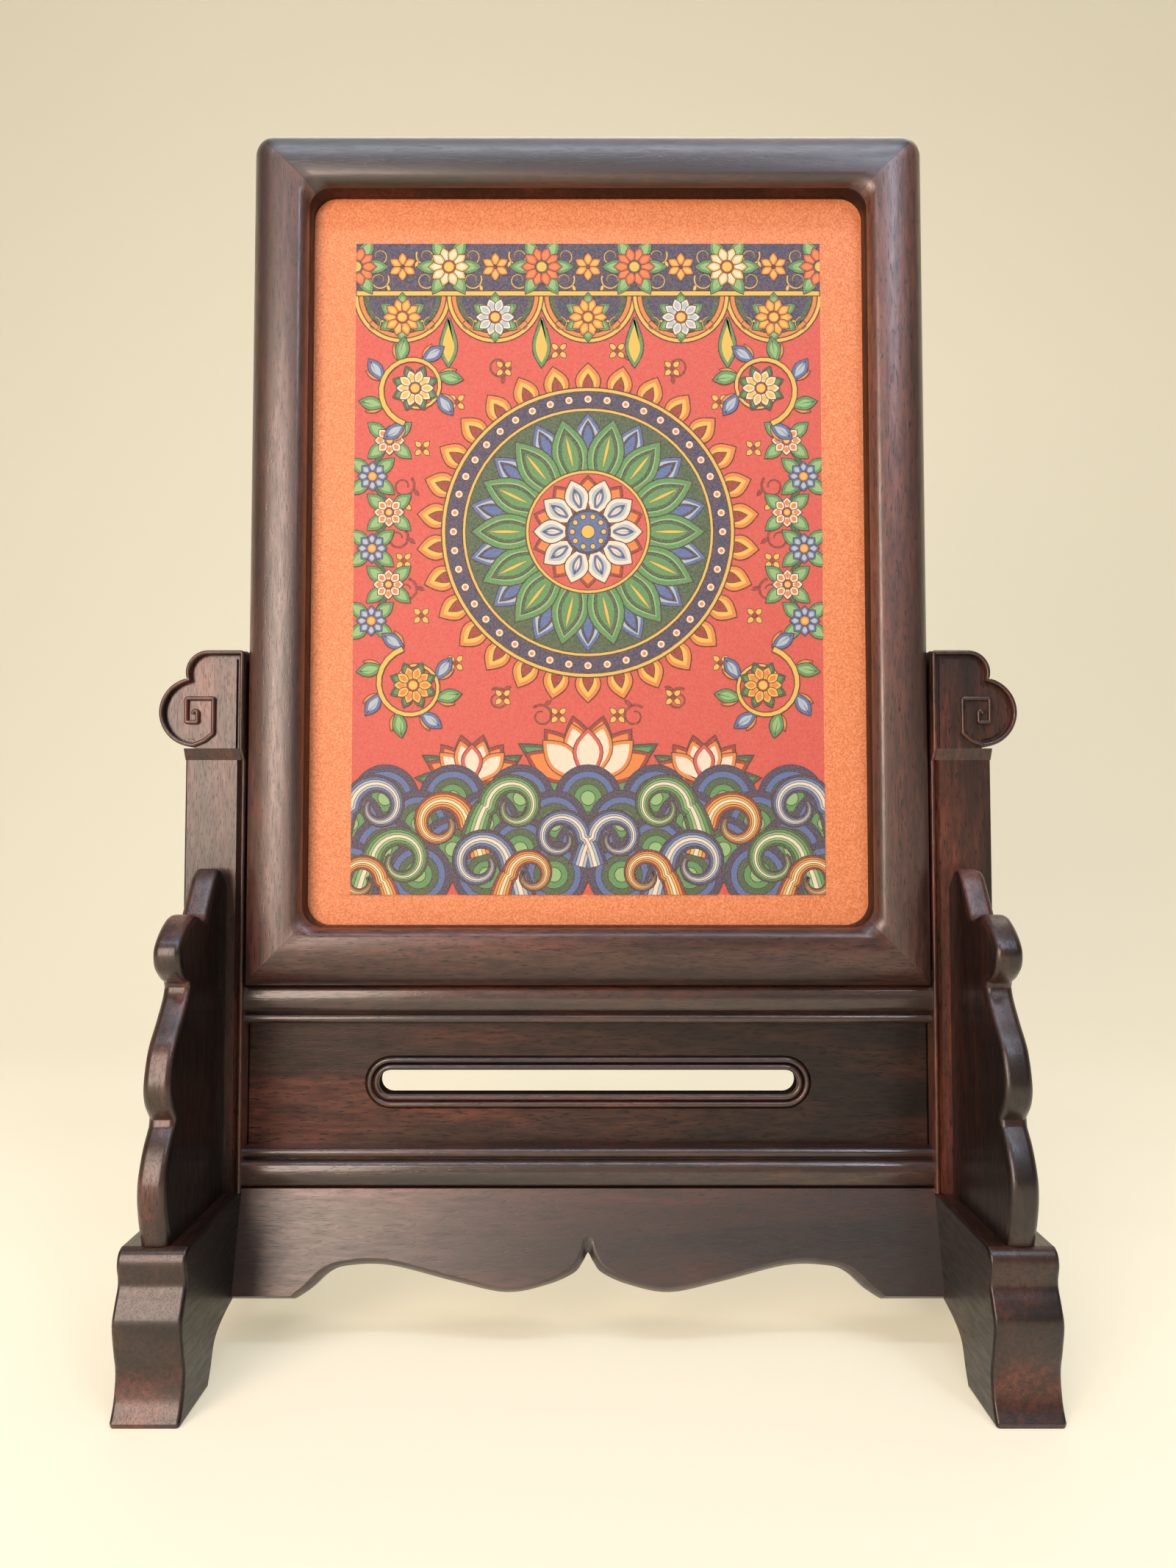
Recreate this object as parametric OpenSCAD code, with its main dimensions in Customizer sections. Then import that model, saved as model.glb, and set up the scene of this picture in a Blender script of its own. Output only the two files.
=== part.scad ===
// Table screen: a framed picture plate that lifts out of a standing base.
// Millimetres, +Z up, +X to the viewer's right, the front faces -Y.
// Origin on the table, under the middle of the base.

/* [Framed panel] */
// Width of the framed panel over its stiles
screen_w = 239; // [200:1:280]
// Height of the framed panel
screen_h = 303; // [250:1:360]
// Width of a frame member
member_w = 21; // [18:0.5:26]
// Thickness of the frame, crest of the moulding to the back
screen_t = 28; // [25:0.5:32]
// Rise of the rounded moulding
mould_rise = 9; // [8:0.25:10]
// Radius of the shoulders of the moulding
shoulder_r = 7; // [4:0.25:7.75]
// Radius of the sight edge's corners
sight_r = 8; // [4:0.5:14]
// Radius of the frame's upper outer corners
corner_r = 7; // [3:0.5:10]
// How far the moulding's crest stands in front of the posts
crest_proud = 7; // [2:0.5:8]
// Stop of the sliding tongue under the top of the posts
tongue_stop = 2; // [1:0.5:10]
// Thickness of the tongue that slides in the posts
tongue_t = 8; // [5:0.5:10]
// Depth of that tongue
tongue_d = 5; // [3:0.5:7]
// Wood left round a loose tenon in a mitre
key_wall = 2.5; // [1.5:0.25:4]
// Thickness of a loose tenon
key_t = 5; // [3:0.5:6]

/* [Picture] */
// Depth of the plate's face behind the moulding's crest
plate_recess = 10.5; // [10.5:0.5:13]
// Thickness of the picture plate
plate_t = 4; // [2:0.5:5]
// Lap of the plate behind the sight edge
plate_lap = 5; // [3:0.5:7]
// Bare plate on each side of the print
print_side = 15; // [9:0.5:35]
// Bare plate above the print
print_top = 16.5; // [10:0.5:40]
// Thickness of the printed layer
print_t = 0.4; // [0.3:0.1:0.8]
// Bare plate under the print
print_low = 10.5; // [6:0.5:20]
// Thickness of the back board
board_t = 4; // [3:0.5:5]
// Width of a retaining stick
stick_w = 6; // [5:0.5:9]
// Thickness of a retaining stick
stick_t = 5; // [4:0.5:5.5]
// Diameter of a brad
brad_d = 1.2; // [1:0.1:1.6]
// Length of a brad
brad_l = 12; // [9:0.5:15]
// Brads along each stick
brads_each = 3; // [2:1:6]

/* [Posts] */
// Width of a post, across the screen
post_w = 21; // [18:0.5:26]
// Thickness of a post, front to back
post_t = 24; // [22:0.5:30]
// Height of a post above the screen's lower edge
post_over = 117; // [90:0.5:150]
// Height of the carved head of a post
head_h = 38.3; // [36:0.1:44]
// How far the carved head stands proud of the post
head_proud = 3.5; // [1:0.25:5]
// Height of the chamfer under the head
head_chamfer = 4; // [2:0.5:6]
// Radius of the head's large outer lobe
lobe_r = 12.2; // [9:0.1:13]
// Radius of the head's upper lobe
crown_r = 7.8; // [5:0.1:9]
// Depth of the upper lobe's edge inside the post's side
crown_in = 0.6; // [0:0.1:2]
// Depth of the large lobe's centre inside the post's side
lobe_in = 3.7; // [0:0.1:5]
// Depth of the large lobe's centre under the top of the head
lobe_drop = 21.7; // [20:0.1:24]
// Width of the raised bead round the head
border_w = 1.5; // [1:0.1:2.5]
// Width of the groove beside a post's bead
quirk_w = 1.2; // [0.8:0.1:2]
// Depth of that groove
quirk_d = 0.8; // [0.4:0.1:1.2]
// Depth of the sunk field inside that bead
field_d = 1.4; // [0.5:0.1:2]

/* [Rails and waist] */
// Height of a rail's rounded nose
rail_h = 9.4; // [8:0.2:12]
// Radius of the nose's edges
nose_r = 2.8; // [1.5:0.1:3.5]
// Thickness of a rail, front to back
rail_t = 22; // [20:0.5:26]
// Radius of the small bead beside the nose
bead_r = 1.7; // [1.2:0.1:2.5]
// Groove between the nose and the small bead
quirk = 0.6; // [0.4:0.1:1.2]
// Height of the waist panel between the rails
waist_h = 43; // [34:0.5:60]
// Thickness of the waist panel
waist_t = 6; // [5.5:0.5:13]
// Length of the slot in the waist panel
slot_l = 148; // [80:1:180]
// Height of the slot
slot_h = 8.6; // [6:0.2:12]
// Width of each raised bead round the slot
rim_w = 2; // [1.5:0.1:2.5]
// Rise of those beads
rim_rise = 1; // [0.6:0.1:1.5]
// Groove between the two beads
rim_gap = 0.5; // [0.3:0.1:1]
// Length of a rail's tenon
tenon_l = 13; // [8:0.5:15]
// Thickness of a rail's tenon
tenon_t = 8; // [5:0.5:10]
// Shoulder above and below a rail's tenon
tenon_shoulder = 1.2; // [0.8:0.1:2]
// Height of the lower rail above the feet
rail_lift = 1.2; // [0.5:0.1:4]

/* [Aprons] */
// Thickness of an apron board
apron_t = 8; // [6:0.5:8.5]
// Outward lean of an apron, in degrees
apron_lean = 16.4; // [8:0.2:20]
// Height of an apron along its slope
apron_h = 35; // [30:0.5:38]
// Setback of an apron's top edge from the posts' face
apron_set = 2; // [0.5:0.5:3]
// Length of the tongue on each end of an apron
apron_tongue_l = 18; // [10:0.5:20]
// Distance of that tongue under the apron's top edge
apron_tongue_s = 6; // [5:0.5:8]
// Rise of the side arches in the lower edge
arch_rise = 10.4; // [6:0.2:14]
// Rise of the point in the middle
point_rise = 14.4; // [10:0.2:24]
// Height of the two lobes above the end pads
lobe_lift = 2; // [0.5:0.5:4]
// Length of the straight pad at each end
pad_l = 21; // [12:0.5:30]

/* [Feet] */
// Length of a foot, front to back
foot_l = 132; // [110:1:160]
// Height of a foot
foot_h = 50.8; // [46:0.2:60]
// Length of a toe on the table
toe_l = 25; // [18:0.5:32]
// Height of the arch between the toes
arch_h = 18.4; // [10:0.2:20]
// Round under the tip of a toe
toe_round = 0.6; // [0.2:0.1:1.5]
// Wood on each side of the post's tenon, across the foot
tenon_cheek_x = 4.5; // [3:0.5:6]
// Shoulder of the post's tenon, front and back
tenon_cheek_y = 5; // [4.5:0.5:7]
// Wood left under the post's tenon
tenon_floor = 9; // [5:0.5:14]

/* [Spandrels] */
// Thickness of a spandrel board
spandrel_t = 9.2; // [7:0.2:12]
// Reach of a spandrel in front of its post
spandrel_reach = 52.4; // [40:0.2:53]
// Height of a spandrel on its foot
spandrel_h = 112; // [90:0.5:125]
// Height of the spandrel's tongue in the post
spandrel_tongue_h = 96; // [60:0.5:100]
// Length of the spandrel's tongue in the foot
spandrel_tongue_l = 36; // [24:0.5:38]
// Distance of that tongue in front of the post
spandrel_tongue_y = 4; // [2:0.5:8]

/* [Fits] */
// Room between the frame's side and a post
side_gap = 0.5; // [0.3:0.1:1]
// Running clearance of the sliding tongue
run_gap = 0.35; // [0.2:0.05:0.6]
// Clearance of a glued joint
joint_gap = 0.1; // [0.05:0.05:0.2]
// Gap of the plate in its rebate
plate_gap = 0.3; // [0.2:0.1:0.6]
// Thickness of the boards' tongues
board_tongue_t = 4; // [3:0.5:5]
// Depth of the boards' tongues
board_tongue_d = 3.5; // [2:0.5:4]

/* [Hidden] */
$fn = 64;
rosewood = "#3b241e";
dark_rosewood = "#33201b";
orange_plate = "#ef8b57";
print_red = "#c8463a";
pine_board = "#8a6a48";
brass = "#b08d4a";
// Overshoot of a cut, so that no face is shared
cut = 1;
// Straight steps in each span of a curve
curve_steps = 5;

// Heights of the base, from the table upwards
lower_rail_z = foot_h + rail_lift;
rail_stack = rail_h + quirk + 2 * bead_r;
waist_z = lower_rail_z + rail_stack;
upper_rail_z = waist_z + waist_h;
screen_z = upper_rail_z + rail_stack;
head_top = screen_z + post_over;
head_z = head_top - head_h;

// Places across the screen
post_in = screen_w / 2 + side_gap;
post_out = post_in + post_w;
post_mid = (post_in + post_out) / 2;
head_t = post_t + 2 * head_proud;

// Places through the frame, front to back
crest_y = -(post_t / 2 + crest_proud);
spring_y = crest_y + mould_rise;
back_y = crest_y + screen_t;
plate_y = crest_y + plate_recess;
board_y = plate_y + plate_t;
stick_y = board_y + board_t;

// Sight opening of the frame
sight_x = screen_w / 2 - member_w;
sight_z0 = screen_z + member_w;
sight_z1 = screen_z + screen_h - member_w;
mid_z = screen_z + screen_h / 2;
rebate_w = 2 * (sight_x + plate_lap);
rebate_h = sight_z1 - sight_z0 + 2 * plate_lap;

// Printed picture inside the sight opening
print_w = 2 * (sight_x - print_side);
print_h = sight_z1 - sight_z0 - print_low - print_top;

// Three-centred arch of the moulding
half_w = member_w / 2;
crown_arc_r = ((half_w - shoulder_r) ^ 2 + mould_rise ^ 2 - shoulder_r ^ 2) / (2 * (mould_rise - shoulder_r));

// Tongue on each stile and its groove in the post
tongue_z = screen_z + tongue_d;
tongue_top = head_top - tongue_stop;
groove_d = tongue_d - side_gap + run_gap;

// Tenons of the rails and of the posts
tenon_h = rail_h - 2 * tenon_shoulder;
foot_tenon_x = post_w - 2 * tenon_cheek_x;
foot_tenon_y = post_t - 2 * tenon_cheek_y;
foot_tenon_l = foot_h - arch_h - tenon_floor;

// Front face of an apron at its top edge
apron_y = -(post_t / 2 - apron_set);

// Centres of the two lobes of a post's head
crown_x = post_out - crown_in - crown_r;
crown_z = head_top - crown_r;
lobe_x = post_out - lobe_in;
lobe_z = head_top - lobe_drop;

function blend(a, b, c, d, t) =
  0.5 * (2 * b + (c - a) * t + (2 * a - 5 * b + 4 * c - d) * t ^ 2 + (3 * b - a - 3 * c + d) * t ^ 3);

// Smooth curve through the points p
function curve(p) = let (k = len(p) - 1) concat(
  [for (i = [0:k - 1]) for (j = [0:curve_steps - 1])
    blend(p[max(i - 1, 0)], p[i], p[i + 1], p[min(i + 2, k)], j / curve_steps)],
  [p[k]]
);

function mirrored(p) = [for (i = [len(p) - 1:-1:0]) [-p[i][0], p[i][1]]];

// Extrudes an outline drawn in Y and Z along X, centred on x
module along_x(length, x = 0) {
  translate([x - length / 2, 0, 0]) rotate([90, 0, 90]) linear_extrude(length) children();
}

// Extrudes an outline drawn in X and Z through the thickness, from y to y + depth
module along_y(depth, y) {
  translate([0, y + depth, 0]) rotate([90, 0, 0]) linear_extrude(depth) children();
}

module on_side(side) {
  if (side > 0) children();
  else mirror([1, 0, 0]) children();
}

module on_face(face) {
  if (face < 0) children();
  else mirror([0, 1, 0]) children();
}

module box(x, y, z) {
  translate([x[0], y[0], z[0]]) cube([x[1] - x[0], y[1] - y[0], z[1] - z[0]]);
}

// Shoe foot: two toes, an arch between them and a moulded front
// Front edge from the top down: depth behind the tip, then share of the height
function foot_front() = [
  [6.5, 1], [4.2, 0.97], [3.2, 0.9], [4.3, 0.79], [2.2, 0.69], [0.4, 0.58],
  [1.9, 0.42], [3.6, 0.28], [2.6, 0.13], [0, 0.02]
];
function foot_arch() = [
  [0, 0], [0.065, 0.25], [0.11, 0.5], [0.16, 0.66], [0.28, 0.79], [0.5, 0.91], [0.78, 0.98], [1, 1]
];

module foot_outline() {
  tip = -foot_l / 2;
  span = foot_l / 2 - toe_l;
  front = curve([for (p = foot_front()) [tip + p[0], p[1] * foot_h]]);
  arch = curve([for (p = foot_arch()) [tip + toe_l + p[0] * span, p[1] * arch_h]]);
  half = concat(front, [[tip + toe_round, 0]], arch);
  polygon(concat(half, mirrored(half)));
}

module foot(side) color(rosewood) on_side(side) difference() {
  along_x(post_w, post_mid) foot_outline();
  post_tenon(joint_gap);
  for (face = [-1, 1]) on_face(face) {
    spandrel_foot_tongue(joint_gap);
    apron_tongue(joint_gap);
  }
}

// Post with its carved cloud head, grooved for the framed panel
module post_tenon(gap) {
  x = foot_tenon_x / 2 + gap;
  y = foot_tenon_y / 2 + gap;
  box([post_mid - x, post_mid + x], [-y, y], [foot_h - foot_tenon_l - gap, foot_h + cut]);
}

module head_outline(inset) {
  translate([crown_x, crown_z]) circle(crown_r - inset);
  translate([lobe_x, lobe_z]) circle(lobe_r - inset);
  translate([post_in + inset, head_z + head_chamfer])
    square([crown_x - post_in - inset, head_h - head_chamfer - inset]);
  translate([post_in + inset, head_z + head_chamfer])
    square([lobe_x - post_in - inset, crown_z - head_z - head_chamfer]);
}

// Square spiral that the bead of the large lobe winds into, as steps from the lobe's centre
function spiral() = [[-6.7, -9.2], [-6.7, 4.8], [2.7, 4.8], [2.7, -3.5], [-1.2, -3.5], [-1.2, 0.2]];

module spiral_outline() {
  w = border_w;
  translate([lobe_x, lobe_z]) {
    for (i = [1:len(spiral()) - 1]) let (a = spiral()[i - 1], b = spiral()[i])
      translate([min(a[0], b[0]) - w / 2, min(a[1], b[1]) - w / 2])
        square([abs(a[0] - b[0]) + w, abs(a[1] - b[1]) + w]);
    intersection() {
      difference() {
        circle(lobe_r);
        circle(lobe_r - w);
      }
      translate([spiral()[0][0] - w / 2, -lobe_r]) square([-spiral()[0][0] + w / 2, lobe_r]);
    }
  }
}

module head_foot_outline() {
  y = post_t / 2;
  polygon([
    [-y, head_z], [y, head_z], [y + head_proud - field_d, head_z + head_chamfer],
    [-y - head_proud + field_d, head_z + head_chamfer]
  ]);
}

module post_solid() {
  box([post_in, post_out], [-post_t / 2, post_t / 2], [foot_h, head_z + head_chamfer + cut]);
  along_y(head_t, -head_t / 2) head_outline(0);
  along_x(post_w, post_mid) head_foot_outline();
}

// V-groove that leaves a bead along the inner edge of a post's face
module post_quirk() {
  y = -post_t / 2;
  translate([post_in + border_w, y, foot_h + cut]) linear_extrude(head_z - foot_h - cut)
    polygon([[0, -cut], [quirk_w, -cut], [quirk_w, 0], [quirk_w / 2, quirk_d], [0, 0]]);
}

module post(side) color(rosewood) on_side(side) {
  difference() {
    post_solid();
    for (face = [-1, 1]) on_face(face) {
      difference() {
        along_y(field_d + cut, -head_t / 2 - cut) head_outline(border_w);
        along_y(field_d + 2 * cut, -head_t / 2 - 2 * cut) spiral_outline();
      }
      post_quirk();
      spandrel_post_tongue(joint_gap);
    }
    box([post_in - cut, post_in + groove_d], [-tongue_t / 2 - run_gap, tongue_t / 2 + run_gap],
      [screen_z, head_top + cut]);
    rail_tenon(lower_rail_z, 1, joint_gap);
    rail_tenon(upper_rail_z + 2 * bead_r + quirk, 1, joint_gap);
    waist_tongue(joint_gap);
  }
  post_tenon(0);
}

// Spandrel: a scrolled board that braces the post on the foot
function nose_lobe() = [[0, 0.965], [0.1, 1], [0.19, 0.982], [0.27, 0.93], [0.37, 0.862]];
function scroll_lobe() = [
  [0.405, 0.855], [0.5, 0.872], [0.6, 0.872], [0.72, 0.84], [0.81, 0.79], [0.8, 0.735],
  [0.72, 0.7], [0.645, 0.684]
];
function long_lobe() = [
  [0.635, 0.672], [0.66, 0.645], [0.75, 0.59], [0.87, 0.52], [0.93, 0.43], [0.91, 0.37], [0.835, 0.325]
];
function low_lobe() = [
  [0.84, 0.31], [0.92, 0.26], [0.985, 0.19], [0.995, 0.13], [0.965, 0.06], [0.92, 0]
];

module spandrel_outline() {
  face = -post_t / 2;
  lobes = concat(curve(nose_lobe()), curve(scroll_lobe()), curve(long_lobe()), curve(low_lobe()));
  edge = [for (p = lobes) [face - p[0] * spandrel_reach, foot_h + p[1] * spandrel_h]];
  polygon(concat([[face, foot_h]], edge));
}

module spandrel_post_tongue(gap) {
  x = board_tongue_t / 2 + gap;
  box([post_mid - x, post_mid + x], [-post_t / 2 - cut, -post_t / 2 + board_tongue_d + gap],
    [foot_h - gap, foot_h + spandrel_tongue_h + gap]);
}

module spandrel_foot_tongue(gap) {
  x = board_tongue_t / 2 + gap;
  y = -post_t / 2 - spandrel_tongue_y;
  box([post_mid - x, post_mid + x], [y - spandrel_tongue_l - gap, y + gap],
    [foot_h - board_tongue_d - gap, foot_h + cut]);
}

module spandrel(side, face) color(dark_rosewood) on_side(side) on_face(face) {
  along_x(spandrel_t, post_mid) spandrel_outline();
  spandrel_post_tongue(0);
  spandrel_foot_tongue(0);
}

// Rail: a rounded nose on each face, with a small bead beside it
module rail_outline(bead_up) {
  nose_y = rail_t / 2 - nose_r;
  nose_z = rail_h / 2 - nose_r;
  bead_y = rail_t / 2 - 2 * bead_r;
  bead_z = rail_h / 2 + quirk + bead_r;
  for (s = [-1, 1]) {
    for (t = [-1, 1]) translate([s * nose_y, t * nose_z]) circle(nose_r);
    translate([s * bead_y, bead_up * bead_z]) circle(bead_r);
  }
  square([2 * nose_y, rail_h], center = true);
  square([rail_t, 2 * nose_z], center = true);
  translate([-bead_y, bead_up > 0 ? 0 : -bead_z - bead_r]) square([2 * bead_y, bead_z + bead_r]);
}

// Tenon on the end of a rail whose nose starts at height z
module rail_tenon(z, side, gap) {
  on_side(side) box(
    [post_in - cut, post_in + tenon_l + gap], [-tenon_t / 2 - gap, tenon_t / 2 + gap],
    [z + (rail_h - tenon_h) / 2 - gap, z + (rail_h + tenon_h) / 2 + gap]);
}

module rail(z, bead_up) color(rosewood) {
  difference() {
    translate([0, 0, z + rail_h / 2]) along_x(2 * post_in) rail_outline(bead_up);
    waist_tongue(joint_gap);
  }
  for (side = [-1, 1]) rail_tenon(z, side, 0);
}

// Waist panel with its slot, tongued into the rails and the posts
module slot_outline(grow) {
  r = slot_h / 2 + grow;
  x = slot_l / 2 - slot_h / 2;
  square([2 * x, 2 * r], center = true);
  for (s = [-1, 1]) translate([s * x, 0]) circle(r);
}

module rim_outline(inner) difference() {
  slot_outline(inner + rim_w);
  slot_outline(inner);
}

module waist_tongue(gap) {
  d = board_tongue_d + gap;
  y = board_tongue_t / 2 + gap;
  box([-post_in, post_in], [-y, y], [waist_z - d, upper_rail_z + d]);
  box([-post_in - d, post_in + d], [-y, y], [waist_z, upper_rail_z]);
}

module waist_panel() color(rosewood) {
  slot_z = waist_z + waist_h / 2;
  rim_step = rim_w + rim_gap;
  difference() {
    union() {
      box([-post_in, post_in], [-waist_t / 2, waist_t / 2], [waist_z, upper_rail_z]);
      waist_tongue(0);
    }
    translate([0, 0, slot_z]) along_y(waist_t + 2 * cut, -waist_t / 2 - cut) slot_outline(0);
  }
  translate([0, 0, slot_z]) for (y = [-waist_t / 2 - rim_rise, waist_t / 2], inner = [0, rim_step])
    along_y(rim_rise, y) rim_outline(inner);
}

// Apron: a board that leans outwards under the lower rail
// Lower edge from a pad to the middle: share of the way in, then of the rise of the arch or the point
function apron_arch() = [[1, 0], [0.95, 0.31], [0.89, 0.8], [0.82, 1], [0.68, 1], [0.46, 0.52]];
function apron_point() = [[0.14, 0.3], [0.05, 0.55], [0.02, 0.78], [0, 1]];
function apron_edge() = let (x = post_in - pad_l) concat(
  [for (p = apron_arch()) [-x * p[0], apron_h - arch_rise * p[1]]],
  [[-x * 0.28, apron_h - lobe_lift]],
  [for (p = apron_point()) [-x * p[0], apron_h - point_rise * p[1]]]
);

module apron_outline() {
  left = curve(apron_edge());
  top = -apron_t;
  polygon(concat(
    [[-post_in, top], [-post_in, apron_h]], left, mirrored(left), [[post_in, apron_h], [post_in, top]]));
}

// Places children drawn on the apron's front face, with the slope running down from the rail
module on_apron() {
  translate([0, apron_y, lower_rail_z]) rotate([-apron_lean, 0, 0]) children();
}

module apron_tongue(gap) {
  y = (apron_t - board_tongue_t) / 2;
  on_apron() box([post_in - cut, post_in + board_tongue_d + gap], [y - gap, y + board_tongue_t + gap],
    [-apron_tongue_s - apron_tongue_l - gap, -apron_tongue_s + gap]);
}

module apron(face) color(rosewood) on_face(face) {
  difference() {
    on_apron() mirror([0, 0, 1]) along_y(apron_t, 0) apron_outline();
    box([-post_out, post_out], [-post_t, post_t], [lower_rail_z, lower_rail_z + rail_stack + apron_t]);
  }
  for (side = [-1, 1]) on_side(side) apron_tongue(0);
}

// Section of a frame member: u runs outwards from the sight edge, then the depth
module moulding_outline() {
  centre = [half_w, crest_y + crown_arc_r];
  fan = 2 * crown_arc_r / (crown_arc_r - mould_rise);
  shoulders = [for (u = [shoulder_r, member_w - shoulder_r]) [u, spring_y]];
  translate([0, spring_y]) square([member_w, back_y - spring_y]);
  for (s = shoulders) translate(s) circle(shoulder_r);
  intersection() {
    translate(centre) circle(crown_arc_r);
    polygon([centre, centre + fan * (shoulders[0] - centre), centre + fan * (shoulders[1] - centre)]);
  }
}

module member_outline() difference() {
  moulding_outline();
  translate([-cut, plate_y]) square([plate_lap + cut, back_y - plate_y + cut]);
}

// Turns the inner half of the moulding round a corner of the sight edge
module corner_sweep() {
  r = sight_r;
  intersection() {
    rotate([-90, 0, 0]) rotate_extrude() intersection() {
      union() {
        translate([r, 0]) moulding_outline();
        translate([r + half_w, crest_y]) square([member_w, mould_rise]);
        translate([r + half_w, spring_y]) square([member_w, plate_recess]);
      }
      translate([r, crest_y - cut]) square([2 * member_w, plate_y - crest_y + cut]);
    }
    box([0, r + half_w], [crest_y - cut, plate_y], [0, r + half_w]);
  }
}

// Upright member on the +X side, before its mitres are cut
module stile_bar() {
  translate([0, 0, screen_z]) linear_extrude(screen_h) translate([sight_x, 0]) member_outline();
  for (s = [-1, 1]) translate([sight_x - sight_r, 0, mid_z + s * (sight_z1 - mid_z - sight_r)])
    rotate([0, s > 0 ? 0 : 90, 0]) corner_sweep();
}

// Level member at the top, before its mitres are cut
module rail_bar() {
  translate([0, 0, sight_z1]) along_x(screen_w) mirror([1, 0]) rotate(90) member_outline();
  for (s = [-1, 1]) translate([s * (sight_x - sight_r), 0, sight_z1 - sight_r])
    rotate([0, s > 0 ? 0 : -90, 0]) corner_sweep();
}

// Rounds the two upper corners of the frame
module frame_rounding() {
  x = screen_w / 2 - corner_r;
  z = screen_h / 2 - corner_r;
  translate([0, 0, mid_z]) along_y(screen_t + 2 * cut, crest_y - cut) {
    square([2 * x, screen_h], center = true);
    translate([-screen_w / 2, -screen_h / 2]) square([screen_w, screen_h - corner_r]);
    for (s = [-1, 1]) translate([s * x, z]) circle(corner_r);
  }
}

// Wedge between the mitres, for a stile or a rail
module stile_mitres() {
  m = member_w + cut;
  along_y(screen_t + 2 * cut, crest_y - cut) polygon([
    [sight_x - sight_r, sight_z0 + sight_r], [sight_x + m, sight_z0 - m],
    [sight_x + m, sight_z1 + m], [sight_x - sight_r, sight_z1 - sight_r]
  ]);
}

module rail_mitres() {
  m = member_w + cut;
  along_y(screen_t + 2 * cut, crest_y - cut) polygon([
    [-sight_x + sight_r, sight_z1 - sight_r], [sight_x - sight_r, sight_z1 - sight_r],
    [sight_x + m, sight_z1 + m], [-sight_x - m, sight_z1 + m]
  ]);
}

// Loose tenons that cross the four mitres
module mitre_keys(gap) {
  stock = member_w - plate_lap;
  side = sqrt(2) * (stock / 2 - key_wall) + 2 * gap;
  x = sight_x + plate_lap + stock / 2;
  z = screen_h / 2 - stock / 2;
  y = (plate_y + back_y) / 2;
  for (s = [-1, 1], t = [-1, 1]) translate([s * x, y, mid_z + t * z])
    rotate([0, 45, 0]) cube([side, key_t + 2 * gap, side], center = true);
}

// Brads that pin each retaining stick to its frame member
module stick_brads(gap) {
  r = brad_d / 2 + gap;
  l = brad_l + gap;
  y = stick_y + stick_t / 2;
  for (i = [1:brads_each], s = [-1, 1]) {
    k = i / (brads_each + 1) - 0.5;
    translate([s * (rebate_w / 2 - stick_w), y, mid_z + k * rebate_h])
      rotate([0, s * 90, 0]) cylinder(h = l, r = r);
    translate([k * rebate_w, y, mid_z + s * (rebate_h / 2 - stick_w)])
      rotate([90 - s * 90, 0, 0]) cylinder(h = l, r = r);
  }
}

module frame_stile(side) color(rosewood) {
  difference() {
    on_side(side) {
      intersection() {
        stile_bar();
        stile_mitres();
        frame_rounding();
      }
      box([screen_w / 2 - cut, screen_w / 2 + tongue_d], [-tongue_t / 2, tongue_t / 2],
        [tongue_z, tongue_top]);
    }
    mitre_keys(joint_gap);
    stick_brads(joint_gap / 2);
  }
}

module frame_rail(up) color(rosewood) {
  difference() {
    intersection() {
      translate([0, 0, mid_z]) mirror([0, 0, up > 0 ? 0 : 1]) translate([0, 0, -mid_z]) intersection() {
        rail_bar();
        rail_mitres();
      }
      frame_rounding();
    }
    mitre_keys(joint_gap);
    stick_brads(joint_gap / 2);
  }
}

// Layers in the rebate: plate, print, back board and sticks
module rebate_slab(y, depth) {
  x = rebate_w / 2 - plate_gap;
  z = rebate_h / 2 - plate_gap;
  box([-x, x], [y, y + depth], [mid_z - z, mid_z + z]);
}

module picture_plate() color(orange_plate) rebate_slab(plate_y, plate_t);

module picture_print() color(print_red) {
  z = sight_z0 + print_low;
  box([-print_w / 2, print_w / 2], [plate_y - print_t, plate_y], [z, z + print_h]);
}

module back_board() color(pine_board) rebate_slab(board_y, board_t);

module stick_outline(length) {
  x = length / 2;
  polygon([[-x, 0], [x, 0], [x - stick_w, -stick_w], [-x + stick_w, -stick_w]]);
}

module stick(length, reach, turn) color(rosewood) difference() {
  translate([0, 0, mid_z]) rotate([0, turn, 0]) translate([0, 0, reach])
    along_y(stick_t, stick_y) stick_outline(length);
  stick_brads(joint_gap / 2);
}

module brads() color(brass) stick_brads(0);

foot(-1);  // foot_left
foot(1);  // foot_right
post(-1);  // post_left
post(1);  // post_right
spandrel(-1, -1);  // spandrel_front_left
spandrel(1, -1);  // spandrel_front_right
spandrel(-1, 1);  // spandrel_rear_left
spandrel(1, 1);  // spandrel_rear_right
rail(upper_rail_z + 2 * bead_r + quirk, -1);  // upper_rail
rail(lower_rail_z, 1);  // lower_rail
waist_panel();
apron(-1);  // apron_front
apron(1);  // apron_rear
frame_stile(-1);  // frame_stile_left
frame_stile(1);  // frame_stile_right
frame_rail(1);  // frame_rail_top
frame_rail(-1);  // frame_rail_bottom
color(pine_board) mitre_keys(0);  // mitre_tenons
picture_plate();
picture_print();
back_board();
stick(rebate_h, rebate_w / 2, -90);  // stick_left
stick(rebate_h, rebate_w / 2, 90);  // stick_right
stick(rebate_w, rebate_h / 2, 0);  // stick_top
stick(rebate_w, rebate_h / 2, 180);  // stick_bottom
brads();
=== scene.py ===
import itertools
import math

import bmesh
import bpy
from mathutils import Matrix, Vector


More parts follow.
